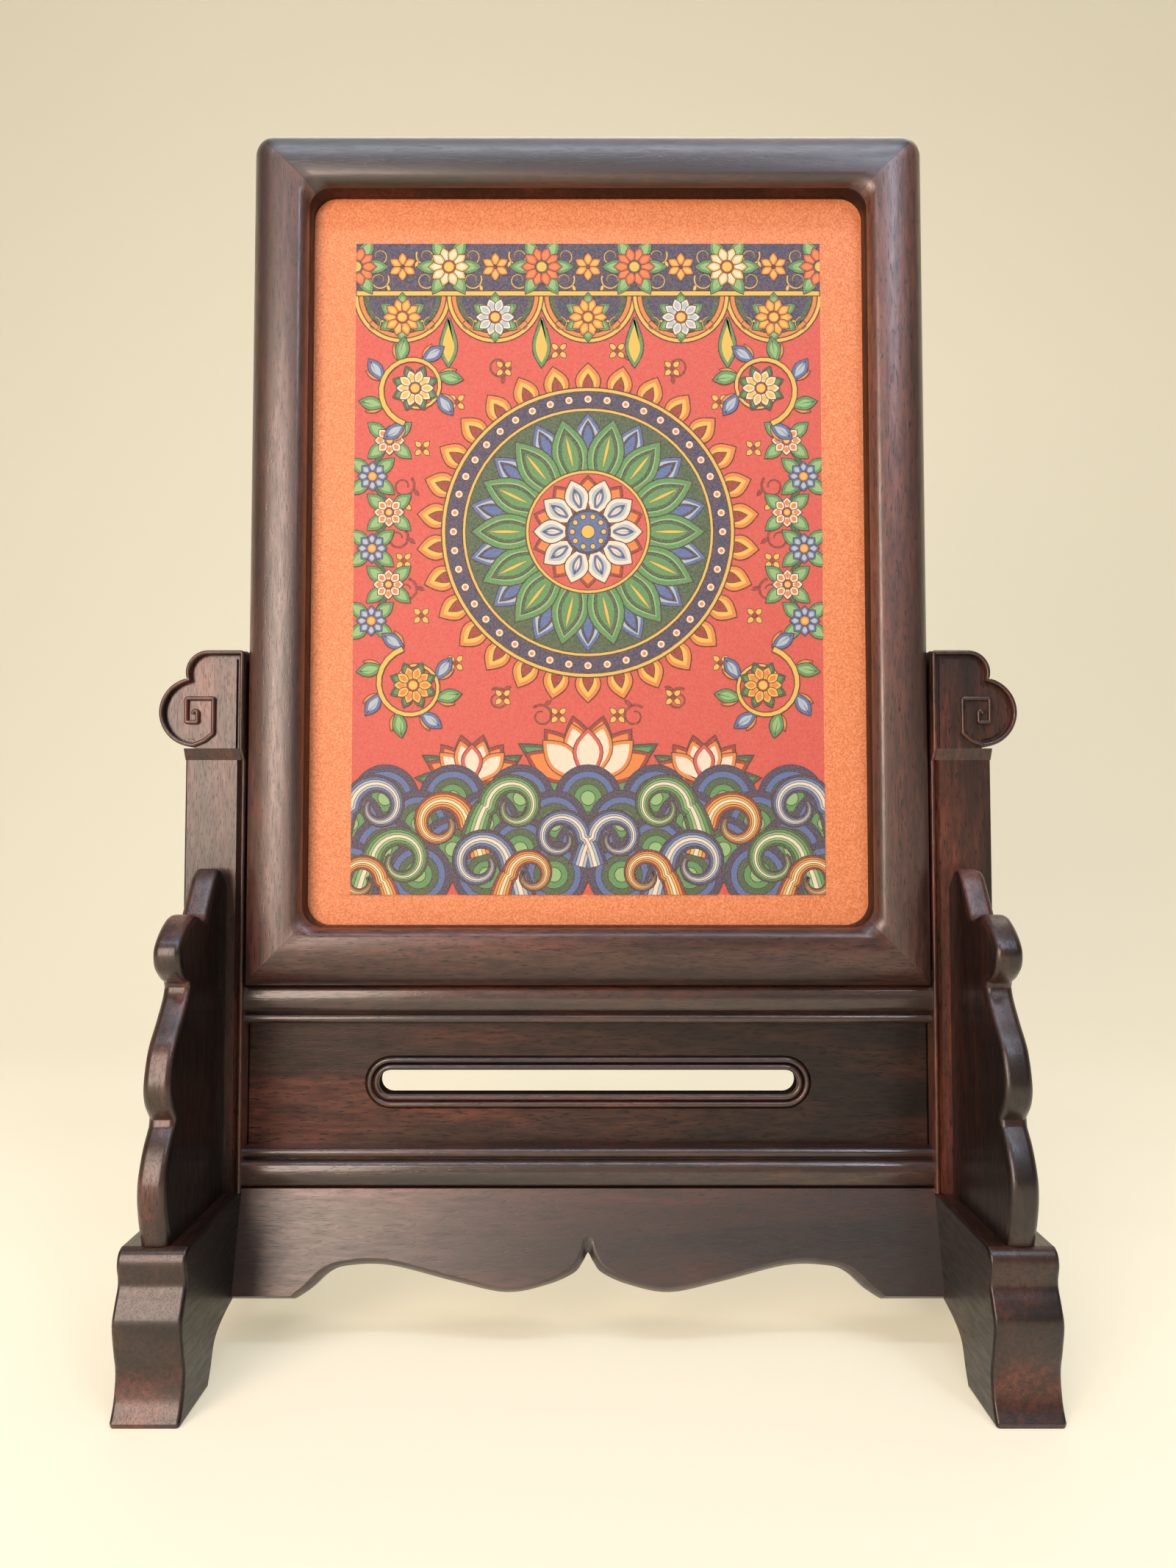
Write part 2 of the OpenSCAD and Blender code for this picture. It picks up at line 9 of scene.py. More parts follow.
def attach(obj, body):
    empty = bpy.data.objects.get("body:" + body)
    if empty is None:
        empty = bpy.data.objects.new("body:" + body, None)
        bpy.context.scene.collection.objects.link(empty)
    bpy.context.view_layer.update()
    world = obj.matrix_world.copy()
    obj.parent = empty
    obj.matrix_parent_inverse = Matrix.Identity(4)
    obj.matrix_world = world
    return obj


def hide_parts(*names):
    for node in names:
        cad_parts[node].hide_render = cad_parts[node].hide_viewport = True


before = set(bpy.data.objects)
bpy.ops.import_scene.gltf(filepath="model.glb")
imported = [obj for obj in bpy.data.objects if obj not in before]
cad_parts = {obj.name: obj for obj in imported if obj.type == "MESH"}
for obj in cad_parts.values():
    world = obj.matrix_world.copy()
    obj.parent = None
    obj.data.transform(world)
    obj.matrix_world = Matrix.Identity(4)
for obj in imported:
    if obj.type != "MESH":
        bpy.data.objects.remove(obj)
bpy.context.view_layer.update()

# The view: a phone held close in front of the screen, level with the foot of the picture and tipped up
# a little. The lens follows from the frame's long side and the focal length, both in the photograph's pixels.
PHOTO_HIGH = 2133
FOCAL_PIXELS = 1500
TIPPED_UP = 2.47
phone = bpy.data.cameras.new("phone_view")
phone.sensor_width = 36
phone.lens = phone.sensor_width * FOCAL_PIXELS / PHOTO_HIGH
eye = bpy.data.objects.new("phone_view", phone)
eye.location = (0.0, -0.3975, 0.1755)
eye.rotation_euler = (math.radians(90 + TIPPED_UP), 0, 0)
bpy.context.collection.objects.link(eye)
bpy.context.scene.camera = eye
bpy.context.scene.view_settings.view_transform = "Standard"


# Shoe feet: two thick rosewood blocks that lie front to back, grain along their length.
# Each is sawn to a moulded outline with an arch between two toes, then scraped smooth and waxed.
MM = 0.001
POST_IN, POST_OUT = 120.0, 141.0
FOOT_LONG, FOOT_HIGH = 132.0, 50.8
TOE_LONG, ARCH_HIGH, TOE_EASE = 25.0, 18.4, 0.7
FOOT_ARRIS = 1.2
SIDE_LEAN = 0.7
# Front edge from the top down: depth behind the toe's tip, then share of the foot's height
FOOT_FRONT = [(6.5, 1), (4.2, 0.97), (3.2, 0.9), (4.3, 0.79), (2.2, 0.69), (0.4, 0.58),
              (1.9, 0.42), (3.6, 0.28), (2.6, 0.13), (0.1, 0.03)]
# Arch from a toe to the middle: share of the half span, then of the arch's height
FOOT_ARCH = [(0, 0), (0.065, 0.25), (0.11, 0.5), (0.16, 0.66), (0.28, 0.79), (0.5, 0.91), (0.78, 0.98),
             (1, 1)]


def fair(points, steps=6):
    """A smooth line through a few points."""
    last = len(points) - 1
    line = []
    for i in range(last):
        a, b, c, d = (Vector(points[min(max(k, 0), last)]) for k in range(i - 1, i + 3))
        for j in range(steps):
            t = j / steps
            bend = (2 * a - 5 * b + 4 * c - d) * t**2 + (3 * b - a - 3 * c + d) * t**3
            line.append((2 * b + (c - a) * t + bend) / 2)
    return line + [Vector(points[last])]


def board(bm, outline, place, low, high, arris=0.0, segments=3, where=lambda p: True):
    """Saws a board to an outline, from low to high, and rounds its arrises where they are asked for."""
    face = bm.faces.new([bm.verts.new(place(p, low)) for p in outline])
    grown = bmesh.ops.extrude_face_region(bm, geom=[face])["geom"]
    far = [v for v in grown if isinstance(v, bmesh.types.BMVert)]
    lift = Vector(place((0, 0), high)) - Vector(place((0, 0), low))
    bmesh.ops.translate(bm, verts=far, vec=lift)
    caps = [face] + [f for f in grown if isinstance(f, bmesh.types.BMFace)]
    edges = {e for f in caps for e in f.edges if where((e.verts[0].co + e.verts[1].co) / 2)}
    if arris:
        bmesh.ops.bevel(bm, geom=list(edges), offset=arris, offset_type="OFFSET", affect="EDGES",
                        segments=segments, profile=0.5, material=-1, clamp_overlap=False)


def across(side):
    """Places an outline drawn front to back, with the thickness running outwards from the middle."""
    return lambda p, h: (side * h, p[0], p[1])


def split_edges_from_shaded_sides(bm):
    """Gives the sawn edges of an upright board its second finish; the sides keep the first, darkened as
    painted shade.
    """
    bm.normal_update()
    for face in bm.faces:
        if abs(face.normal.x) < SIDE_LEAN:
            face.material_index = 1


def shade_piece(bm, name, sharp=38):
    """Makes an object of a mesh drawn in millimetres, smooth but for its sharp edges."""
    bmesh.ops.remove_doubles(bm, verts=bm.verts, dist=0.002)
    bmesh.ops.recalc_face_normals(bm, faces=bm.faces)
    bmesh.ops.scale(bm, vec=(MM, MM, MM), verts=bm.verts)
    mesh = bpy.data.meshes.new(name)
    bm.to_mesh(mesh)
    bm.free()
    mesh.shade_smooth()
    mesh.set_sharp_from_angle(angle=math.radians(sharp))
    made = bpy.data.objects.new(name, mesh)
    bpy.context.collection.objects.link(made)
    flat = made.modifiers.new("planed_faces", "WEIGHTED_NORMAL")
    flat.keep_sharp = True
    return made


def fit(made, body, node, slot, *finishes):
    """Finishes a piece and puts it on its body, in place of its node."""
    for finish in finishes:
        made.data.materials.append(finish)
    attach(made, body)
    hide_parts(node)
    return made


def linear(hex_colour):
    """A colour written in sRGB hex, as the shader's linear values."""
    parts = [int(hex_colour[i:i + 2], 16) / 255 for i in (1, 3, 5)]
    return [p / 12.92 if p <= 0.04045 else ((p + 0.055) / 1.055) ** 2.4 for p in parts] + [1.0]


def add_node(tree, kind, inputs=None, **settings):
    """Adds a node with its settings, and fills its sockets with values or links."""
    made = tree.nodes.new(kind)
    for key, value in settings.items():
        setattr(made, key, value)
    for socket, value in (inputs or {}).items():
        if isinstance(value, bpy.types.NodeSocket):
            tree.links.new(value, made.inputs[socket])
        else:
            made.inputs[socket].default_value = value
    return made


def ramp(tree, factor, stops):
    """A colour band from stops of place and hex colour."""
    made = add_node(tree, "ShaderNodeValToRGB", {"Fac": factor})
    band = made.color_ramp.elements
    while len(band) < len(stops):
        band.new(0.5)
    for element, (place, colour) in zip(band, stops):
        element.position = place
        element.color = linear(colour)
    return made.outputs["Color"]


def new_finish(name):
    """An empty material and its shader."""
    made = bpy.data.materials.new(name)
    made.use_nodes = True
    return made, made.node_tree, made.node_tree.nodes["Principled BSDF"]


# Rosewood, scraped and waxed: nearly black brown with russet clouds, fine streaks along the grain and
# short dark pores that break the shine. A thin coat of wax gives the satin gloss; some pieces are redder
# and shine more than others, and the sides of the feet and spandrels are painted darker as painted shade.
FIGURE_MM, STREAK_MM, PORE_MM, PORE_DEEP_MM = 36.0, 1.6, 0.4, 0.2
GRAIN_DRAW = {"x": (0.16, 1, 1), "y": (1, 0.16, 1), "z": (1, 1, 0.16)}
PORE_DRAW = {"x": (0.12, 1, 1), "y": (1, 0.12, 1), "z": (1, 1, 0.12)}
# Colours of the clouds, from the darkest wood to russet and back to brown
DARK_STOCK = ("#0f0807", "#1e110e", "#2f1b15", "#58291e", "#291813")
# Painted shade: darker clouds for the sides of the feet and spandrels
SHADED_SIDE_STOCK = ("#0a0505", "#140b09", "#20120e", "#3a1b14", "#1b100d")
RED_STOCK = ("#120a08", "#291812", "#44291f", "#6e3c2d", "#34211b")
# Index of refraction of the wood, then weight and roughness of the wax on it
LOW_SHINE, SOFT_SHINE = (1.34, 0.3, 0.22), (1.34, 0.85, 0.27)


def rosewood(name, grain, polish, offset=(0, 0, 0), stock=DARK_STOCK):
    made, tree, shader = new_finish(name)
    place = add_node(tree, "ShaderNodeTexCoord").outputs["Object"]
    along = add_node(tree, "ShaderNodeMapping", {
        "Vector": place, "Location": offset, "Scale": GRAIN_DRAW[grain]})
    pore_place = add_node(tree, "ShaderNodeMapping", {"Vector": place, "Scale": PORE_DRAW[grain]})
    figure = add_node(tree, "ShaderNodeTexNoise", {
        "Vector": along.outputs["Vector"], "Scale": 1000 / FIGURE_MM, "Detail": 5.0, "Roughness": 0.6,
        "Distortion": 0.5})
    streak = add_node(tree, "ShaderNodeTexNoise", {
        "Vector": along.outputs["Vector"], "Scale": 1000 / STREAK_MM, "Detail": 3.0, "Roughness": 0.6})
    pores = add_node(tree, "ShaderNodeTexNoise", {
        "Vector": pore_place.outputs["Vector"], "Scale": 1000 / PORE_MM, "Detail": 1.0})
    clouds = ramp(tree, figure.outputs["Fac"], list(zip((0.3, 0.42, 0.53, 0.63, 0.74), stock)))
    lines = ramp(tree, streak.outputs["Fac"], [(0.32, "#8d8481"), (0.5, "#d4cecb"), (0.66, "#ffffff")])
    dots = ramp(tree, pores.outputs["Fac"], [(0.32, "#3d312e"), (0.4, "#ffffff")])
    streaked = add_node(tree, "ShaderNodeMix", {"Factor": 0.85, 6: clouds, 7: lines},
                        data_type="RGBA", blend_type="MULTIPLY")
    pored = add_node(tree, "ShaderNodeMix", {"Factor": 0.95, 6: streaked.outputs[2], 7: dots},
                     data_type="RGBA", blend_type="MULTIPLY")
    dull = add_node(tree, "ShaderNodeMapRange", {
        "Value": streak.outputs["Fac"], "From Min": 0.3, "From Max": 0.7, "To Min": 0.56, "To Max": 0.36})
    pit = add_node(tree, "ShaderNodeMapRange", {
        "Value": pores.outputs["Fac"], "From Min": 0.32, "From Max": 0.42, "To Min": 0.0, "To Max": 1.0})
    height = add_node(tree, "ShaderNodeMath", {0: streak.outputs["Fac"], 1: 0.6, 2: pit.outputs["Result"]},
                      operation="MULTIPLY_ADD")
    relief = add_node(tree, "ShaderNodeBump", {
        "Strength": 0.15, "Distance": PORE_DEEP_MM * MM, "Height": height.outputs["Value"]})
    tree.links.new(pored.outputs[2], shader.inputs["Base Color"])
    tree.links.new(dull.outputs["Result"], shader.inputs["Roughness"])
    tree.links.new(relief.outputs["Normal"], shader.inputs["Normal"])
    tree.links.new(relief.outputs["Normal"], shader.inputs["Coat Normal"])
    for socket, value in zip(("IOR", "Coat Weight", "Coat Roughness"), polish):
        shader.inputs[socket].default_value = value
    return made


# The sides of the feet are painted darker as painted shade; the toes and edges keep the redder wood
shaded_foot_sides = rosewood("waxed_rosewood_foot_sides_painted_shade", "y", LOW_SHINE, (0.52, 0.29, 0.44), SHADED_SIDE_STOCK)
toe_wood = rosewood("rubbed_rosewood_toes", "y", SOFT_SHINE, (0.52, 0.29, 0.44), RED_STOCK)
for side, hand in ((-1, "left"), (1, "right")):
    tip = -FOOT_LONG / 2
    span = FOOT_LONG / 2 - TOE_LONG
    front = fair([(tip + back, share * FOOT_HIGH) for back, share in FOOT_FRONT])
    arch = fair([(tip + TOE_LONG + share * span, rise * ARCH_HIGH) for share, rise in FOOT_ARCH], 4)
    half = front + [Vector((tip + TOE_EASE, 0))] + arch
    outline = half + [Vector((-p[0], p[1])) for p in reversed(half[:-1])]
    block = bmesh.new()
    board(block, outline, across(side), POST_IN, POST_OUT, FOOT_ARRIS)
    split_edges_from_shaded_sides(block)
    fit(shade_piece(block, f"shoe_foot_{hand}"), "stand", f"foot_{hand}", "rosewood", shaded_foot_sides, toe_wood)


# Spandrels: scrolled boards that brace each post on its foot, front and back.
# They are fretted from planed stock with upright grain, and their curved edges are eased to a pillow.
POST_FACE = -12.0
SPANDREL_THICK, SPANDREL_REACH, SPANDREL_HIGH = 9.2, 52.4, 112.0
SPANDREL_ARRIS, HAIR = 2.4, 0.1
POST_MID = (POST_IN + POST_OUT) / 2
# Each lobe of the edge from the top down: share of the reach, then of the height
NOSE_LOBE = [(0, 0.965), (0.1, 1), (0.19, 0.982), (0.27, 0.93), (0.37, 0.862)]
SCROLL_LOBE = [(0.405, 0.855), (0.5, 0.872), (0.6, 0.872), (0.72, 0.84), (0.81, 0.79), (0.8, 0.735),
               (0.72, 0.7), (0.645, 0.684)]
LONG_LOBE = [(0.635, 0.672), (0.66, 0.645), (0.75, 0.59), (0.87, 0.52), (0.93, 0.43), (0.91, 0.37),
             (0.835, 0.325)]
LOW_LOBE = [(0.84, 0.31), (0.92, 0.26), (0.985, 0.19), (0.995, 0.13), (0.965, 0.06), (0.92, 0)]

# The sides of the spandrels are painted darker as painted shade; the scrolled edges keep the redder wood
shaded_spandrel_sides = rosewood("waxed_rosewood_spandrel_sides_painted_shade", "z", LOW_SHINE, (0, 0, 0), SHADED_SIDE_STOCK)
scroll_wood = rosewood("rubbed_rosewood_scrolls", "z", SOFT_SHINE, (0.11, 0.07, 0.05), RED_STOCK)
for side, hand in ((-1, "left"), (1, "right")):
    for facing, end in ((-1, "front"), (1, "rear")):
        edge = [p for lobe in (NOSE_LOBE, SCROLL_LOBE, LONG_LOBE, LOW_LOBE) for p in fair(lobe, 5)]
        outline = [(facing * (SPANDREL_REACH * p[0] - POST_FACE), FOOT_HIGH + SPANDREL_HIGH * p[1])
                   for p in edge]
        outline.append((-facing * POST_FACE, FOOT_HIGH))
        brace = bmesh.new()
        board(brace, outline, across(side), POST_MID - SPANDREL_THICK / 2, POST_MID + SPANDREL_THICK / 2,
              SPANDREL_ARRIS, 4, lambda p: abs(p[1]) > HAIR - POST_FACE and p[2] > FOOT_HIGH + HAIR)
        split_edges_from_shaded_sides(brace)
        fit(shade_piece(brace, f"scrolled_spandrel_{end}_{hand}"), "stand",
            f"spandrel_{end}_{hand}", "rosewood", shaded_spandrel_sides, scroll_wood)


# Posts: square rosewood uprights tenoned into the feet, with a bead worked on the inner edge of each face.
# The top is carved as a cloud: a sunk field inside a raised bead that winds into a square spiral.
HEAD_FOOT, HEAD_FIELD, HEAD_TOP = 200.5, 204.5, 238.8
BEAD_R, BEAD_SUNK, BEAD_TURN = 0.75, 2.0, 0.5
QUIRK_WIDE, QUIRK_DEEP, POST_ARRIS = 1.4, 0.8, 0.8
GROOVE_IN, GROOVE_HALF = 4.85, 4.35
CROWN, CROWN_R = Vector((132.6, 231.0)), 7.8
LOBE, LOBE_R = Vector((137.3, 217.1)), 12.18
FIELD_DEEP, FIELD_INSET = 12.6, 2.9
FIELD_FACE, BEAD_DEPTHS = 13.9, (13.2, 14.0, 14.7)
# Turns of the spiral as steps from the lobe's centre
SPIRAL = [(-3.6, -10.0), (-6.7, -7.4), (-6.7, 4.8), (2.7, 4.8), (2.7, -3.5), (-1.2, -3.5), (-1.2, 0.1),
          (-0.4, 0.6), (0.3, 0.1), (0.2, -0.6)]


def arc(centre, radius, start, end, steps=12):
    """Points on a circle from one angle to another, in degrees."""
    turns = [math.radians(start + (end - start) * i / steps) for i in range(steps + 1)]
    return [Vector((centre[0] + radius * math.cos(t), centre[1] + radius * math.sin(t))) for t in turns]


def cloud_edge(inset):
    """The outline of a post's head from the inner top corner round to the bottom of the large lobe."""
    crown_r, lobe_r = CROWN_R - inset, LOBE_R - inset
    gap = LOBE - CROWN
    reach = (crown_r**2 - lobe_r**2 + gap.length_squared) / (2 * gap.length)
    if crown_r > reach:
        rise = math.sqrt(crown_r**2 - reach**2)
        notch = CROWN + reach * gap.normalized() + rise * Vector((-gap.y, gap.x)).normalized()
        crown_turn = math.degrees(math.atan2(notch.y - CROWN.y, notch.x - CROWN.x))
        lobe_turn = math.degrees(math.atan2(notch.y - LOBE.y, notch.x - LOBE.x))
    else:
        crown_turn = -math.degrees(math.acos((LOBE.x - CROWN.x) / crown_r))
        lobe_turn = 90
    corner = Vector((POST_IN + inset, HEAD_TOP - inset))
    return [corner] + arc(CROWN, crown_r, 90, crown_turn) + arc(LOBE, lobe_r, lobe_turn, -90, 24)


def rounded(path, radius, steps=4):
    """A path with its corners turned on a small radius."""
    line = [path[0]]
    for before, corner, after in zip(path, path[1:], path[2:]):
        a = corner + (before - corner).normalized() * min(radius, (before - corner).length / 2)
        b = corner + (after - corner).normalized() * min(radius, (after - corner).length / 2)
        for i in range(steps + 1):
            t = i / steps
            line.append(a * (1 - t) ** 2 + corner * 2 * t * (1 - t) + b * t**2)
    return line + [path[-1]]


def bead(bm, path, radius, ring=False):
    """Runs a round bead along a path."""
    line = bpy.data.curves.new("bead", "CURVE")
    line.dimensions = "3D"
    line.bevel_depth = radius
    line.bevel_resolution = 3
    line.use_fill_caps = True
    spline = line.splines.new("POLY")
    spline.points.add(len(path) - 1)
    for point, place in zip(spline.points, path):
        point.co = (*place, 1)
    spline.use_cyclic_u = ring
    holder = bpy.data.objects.new("bead", line)
    mesh = bpy.data.meshes.new_from_object(holder)
    bm.from_mesh(mesh)
    bpy.data.meshes.remove(mesh)
    bpy.data.objects.remove(holder)
    bpy.data.curves.remove(line)


def upright(side):
    """Places an outline drawn across a post, with its height as the third measure."""
    return lambda p, h: (side * p[0], p[1], h)


def facing_out(side):
    """Places an outline drawn on the post's face, with its depth as the third measure."""
    return lambda p, h: (side * p[0], h, p[1])


post_wood = rosewood("waxed_rosewood_posts", "z", SOFT_SHINE, (0.37, 0.41, 0.13), RED_STOCK)
for side, hand in ((-1, "left"), (1, "right")):
    bead_mid = (POST_IN + BEAD_R, POST_FACE + BEAD_R)
    quirk = [Vector((POST_IN + 2 * BEAD_R + QUIRK_WIDE * 0.4, POST_FACE + QUIRK_DEEP + BEAD_R)),
             Vector((POST_IN + 2 * BEAD_R + QUIRK_WIDE, POST_FACE))]
    arris = arc((POST_OUT - POST_ARRIS, POST_FACE + POST_ARRIS), POST_ARRIS, -90, 0, 3)
    face = arc(bead_mid, BEAD_R, 180, 360, 8) + quirk + arris
    back = [Vector((p.x, -p.y)) for p in reversed(face)]
    groove_x = POST_IN + GROOVE_IN
    groove = [Vector((POST_IN, GROOVE_HALF)), Vector((groove_x, GROOVE_HALF)),
              Vector((groove_x, -GROOVE_HALF)), Vector((POST_IN, -GROOVE_HALF))]
    post = bmesh.new()
    board(post, face + back + groove, upright(side), FOOT_HIGH, HEAD_FIELD)
    foot_of_head = [Vector((LOBE.x, HEAD_FIELD)), Vector((POST_IN, HEAD_FIELD))]
    cloud = cloud_edge(0) + foot_of_head
    inside = [Vector((groove_x, HEAD_TOP))] + cloud[1:-1] + [Vector((groove_x, HEAD_FIELD))]
    board(post, inside, facing_out(side), -GROOVE_HALF, GROOVE_HALF)
    field_foot = [Vector((LOBE.x, HEAD_FIELD)), Vector((POST_IN + FIELD_INSET, HEAD_FIELD))]
    field = cloud_edge(FIELD_INSET) + field_foot
    under = [Vector((POST_FACE, HEAD_FOOT)), Vector((-FIELD_FACE, HEAD_FIELD)),
             Vector((POST_FACE, HEAD_FIELD))]
    line = cloud_edge(BEAD_R)
    stem = [Vector((line[0].x, HEAD_FIELD)), line[0], line[1]]
    wind = [line[-1]] + [LOBE + Vector(step) for step in SPIRAL]
    path = rounded(stem, BEAD_TURN)[:-1] + line[1:-1] + rounded(wind, BEAD_TURN)
    for facing in (-1, 1):
        near = sorted((facing * GROOVE_HALF, facing * FIELD_DEEP))
        board(post, cloud, facing_out(side), *near)
        proud = sorted((facing * FIELD_DEEP, facing * FIELD_FACE))
        board(post, field, facing_out(side), *proud)
        board(post, [(-facing * p.x, p.y) for p in under], across(side), POST_IN + BEAD_R * 2, POST_OUT)
        root = [Vector((side * bead_mid[0], facing * -bead_mid[1], HEAD_FOOT - BEAD_SUNK))]
        root.append(Vector((side * bead_mid[0], facing * -bead_mid[1], HEAD_FOOT)))
        for deep in BEAD_DEPTHS:
            bead(post, root + [Vector((side * p.x, facing * deep, p.y)) for p in path], BEAD_R)
    fit(shade_piece(post, f"cloud_post_{hand}"), "stand", f"post_{hand}", "rosewood", post_wood)


# Rails: two rosewood bars tenoned between the posts, above and below the waist panel.
# Each has a nose with rounded edges on both faces and a small bead beside it, run with a moulding plane.
LOWER_RAIL, UPPER_RAIL, SCREEN_LOW = 52.0, 108.4, 121.8
NOSE_HIGH, NOSE_R, NOSE_CROWN, RAIL_HALF = 9.4, 2.8, 0.6, 11.0
RAIL_BEAD_R, RAIL_QUIRK, QUIRK_SUNK = 1.7, 0.6, 0.2
CLOSE_SHINE = (1.5, 1.0, 0.15)

level_wood = rosewood("waxed_rosewood_rails", "x", CLOSE_SHINE, (0, 0, 0), RED_STOCK)
for name, low, up in (("lower_rail", LOWER_RAIL, 1), ("upper_rail", SCREEN_LOW, -1)):
    edge = RAIL_HALF - NOSE_R - NOSE_CROWN
    bead_mid = (RAIL_HALF - 2 * RAIL_BEAD_R, NOSE_HIGH + RAIL_QUIRK + RAIL_BEAD_R)
    half = arc((edge, NOSE_R), NOSE_R, -90, -4, 10) + [Vector((RAIL_HALF, NOSE_HIGH / 2))]
    half += arc((edge, NOSE_HIGH - NOSE_R), NOSE_R, 4, 90, 10)
    half += [Vector((bead_mid[0] - QUIRK_SUNK, NOSE_HIGH + RAIL_QUIRK / 2))]
    half += arc(bead_mid, RAIL_BEAD_R, -90, 90, 10)
    whole = half + [Vector((-p.x, p.y)) for p in reversed(half)]
    bar = bmesh.new()
    board(bar, [(p.x, low + up * p.y) for p in whole], across(1), -POST_IN, POST_IN)
    fit(shade_piece(bar, f"moulded_{name}"), "stand", name, "rosewood", level_wood)


# Waist panel: a thin rosewood board let into the rails and posts, pierced by one long slot.
# Two rounded beads run round the slot on each face, left standing when the ground was cut back.
WAIST_LOW, WAIST_HALF, SLOT_LONG, SLOT_HIGH = 65.4, 3.0, 148.0, 8.6
RIM_R, RIM_GAP, RIM_QUIRK = 1.0, 0.5, 0.45
SLOT_Z = (WAIST_LOW + UPPER_RAIL) / 2


def skin(bm, rows, ring=True, closed=False):
    """Lofts a surface through rows of points, each bridged to the next."""
    loops = []
    for row in rows:
        verts = [bm.verts.new(p) for p in row]
        follow = verts[1:] + verts[:1] if ring else verts[1:]
        loops.append([bm.edges.new(pair) for pair in zip(verts, follow)])
    after = loops[1:] + loops[:1] if closed else loops[1:]
    for low, high in zip(loops, after):
        bmesh.ops.bridge_loops(bm, edges=low + high)
    return loops


def slot_row(grow, deep):
    """One turn round the slot, grown outwards from its edge."""
    reach = (SLOT_LONG - SLOT_HIGH) / 2
    r = SLOT_HIGH / 2 + grow
    ends = arc((reach, SLOT_Z), r, -90, 90, 14) + arc((-reach, SLOT_Z), r, 90, 270, 14)
    return [(p.x, deep, p.y) for p in ends]


def oblong(left, right, low, high):
    """The corners of an upright rectangle."""
    return [(left, low), (right, low), (right, high), (left, high)]


# Inside the slot the wood is dull, without wax, and painted near black as painted shade in the narrow slot,
# with fine saw marks
SAW_MM = 1.2
slot_shade_wood, tree, shader = new_finish("rosewood_slot_walls_painted_shade")
place = add_node(tree, "ShaderNodeTexCoord").outputs["Object"]
marks = add_node(tree, "ShaderNodeTexNoise", {"Vector": place, "Scale": 1000 / SAW_MM, "Detail": 2.0})
slot_shade = ramp(tree, marks.outputs["Fac"], [(0.35, "#0f0807"), (0.65, "#23130f")])
tree.links.new(slot_shade, shader.inputs["Base Color"])
shader.inputs["Roughness"].default_value = 0.9
shader.inputs["IOR"].default_value = 1.1

waist_wood = rosewood("waxed_rosewood_waist", "x", LOW_SHINE, (0.52, 0.29, 0.44), RED_STOCK)
panel = bmesh.new()
section = []
for i in range(2):
    start = RIM_R + i * (2 * RIM_R + RIM_GAP)
    section += [(p.x, p.y) for p in arc((start, -WAIST_HALF), RIM_R, 180, 360, 8)]
    section += [(start + RIM_R + RIM_GAP / 2, -WAIST_HALF + RIM_QUIRK)]
section.append((section[-1][0] + RIM_GAP / 2, -WAIST_HALF))
rows = [slot_row(grow, deep) for grow, deep in section]
mirrored = [slot_row(grow, -deep) for grow, deep in section]
loops = skin(panel, list(reversed(rows)) + mirrored)
# Faces inside the slot take the painted-shade finish; the bead tops take the rails' finish
for face in panel.faces:
    deep = abs(face.calc_center_median().y)
    face.material_index = 1 if deep < WAIST_HALF / 2 else 2 if deep > WAIST_HALF else 0
for loop, deep in ((loops[0], -WAIST_HALF), (loops[-1], WAIST_HALF)):
    verts = [panel.verts.new((x, deep, z)) for x, z in oblong(-POST_IN, POST_IN, WAIST_LOW, UPPER_RAIL)]
    border = [panel.edges.new(pair) for pair in zip(verts, verts[1:] + verts[:1])]
    bmesh.ops.triangle_fill(panel, edges=loop + border, use_beauty=True, normal=(0, deep, 0))
rim = [e for e in panel.edges if e.is_boundary]
bmesh.ops.bridge_loops(panel, edges=rim)
fit(shade_piece(panel, "slotted_waist_panel", 50), "stand", "waist_panel", "rosewood",
    waist_wood, slot_shade_wood, level_wood)


# Aprons: thin boards that lean outwards under the lower rail, front and back.
# The lower edge is fretted to two shallow arches and a point, and its front arris is carved away all along.
APRON_THICK, APRON_LEAN, APRON_HIGH = 8.0, 16.4, 35.0
APRON_TOP_Y, ARCH_RISE, POINT_RISE, LOBE_LIFT, PAD_LONG = -10.0, 10.4, 14.4, 2.0, 21.0
EASE_DEEP, EASE_BELLY, PAD_EASE, LOBE_EASE, LOBE_AT = 2.6, 0.8, 0.9, 1.8, 0.28
FULL_SHINE = (1.62, 0.9, 0.3)
# Lower edge from a pad to the middle: share of the way in, then of the rise of the arch or the point
SAWN_ARCH = [(1, 0), (0.95, 0.31), (0.89, 0.8), (0.82, 1), (0.68, 1), (0.46, 0.52)]
SAWN_POINT = [(0.14, 0.3), (0.05, 0.55), (0.02, 0.78), (0.005, 0.96), (0, 1)]
# The same edge where the carved arris meets the face
FACE_ARCH = [(1.012, 0.1), (0.97, 0.44), (0.91, 0.96), (0.83, 1.19), (0.68, 1.19), (0.46, 0.71)]
FACE_POINT = [(0.155, 0.41), (0.066, 0.7), (0.03, 1.02), (0.017, 1.32), (0, 1.4)]


def apron_edge(arch, point, lift, pad):
    """The lower edge and the two ends of an apron, measured down its slope from the rail."""
    reach = POST_IN - PAD_LONG
    left = [(-reach * x, APRON_HIGH - ARCH_RISE * rise) for x, rise in arch]
    left += [(-reach * LOBE_AT, APRON_HIGH - lift)]
    left += [(-reach * x, APRON_HIGH - POINT_RISE * rise) for x, rise in point]
    half = [Vector((-POST_IN, -APRON_THICK)), Vector((-POST_IN, APRON_HIGH - pad))] + fair(left, 6)
    return half + [Vector((-p.x, p.y)) for p in reversed(half[:-1])]


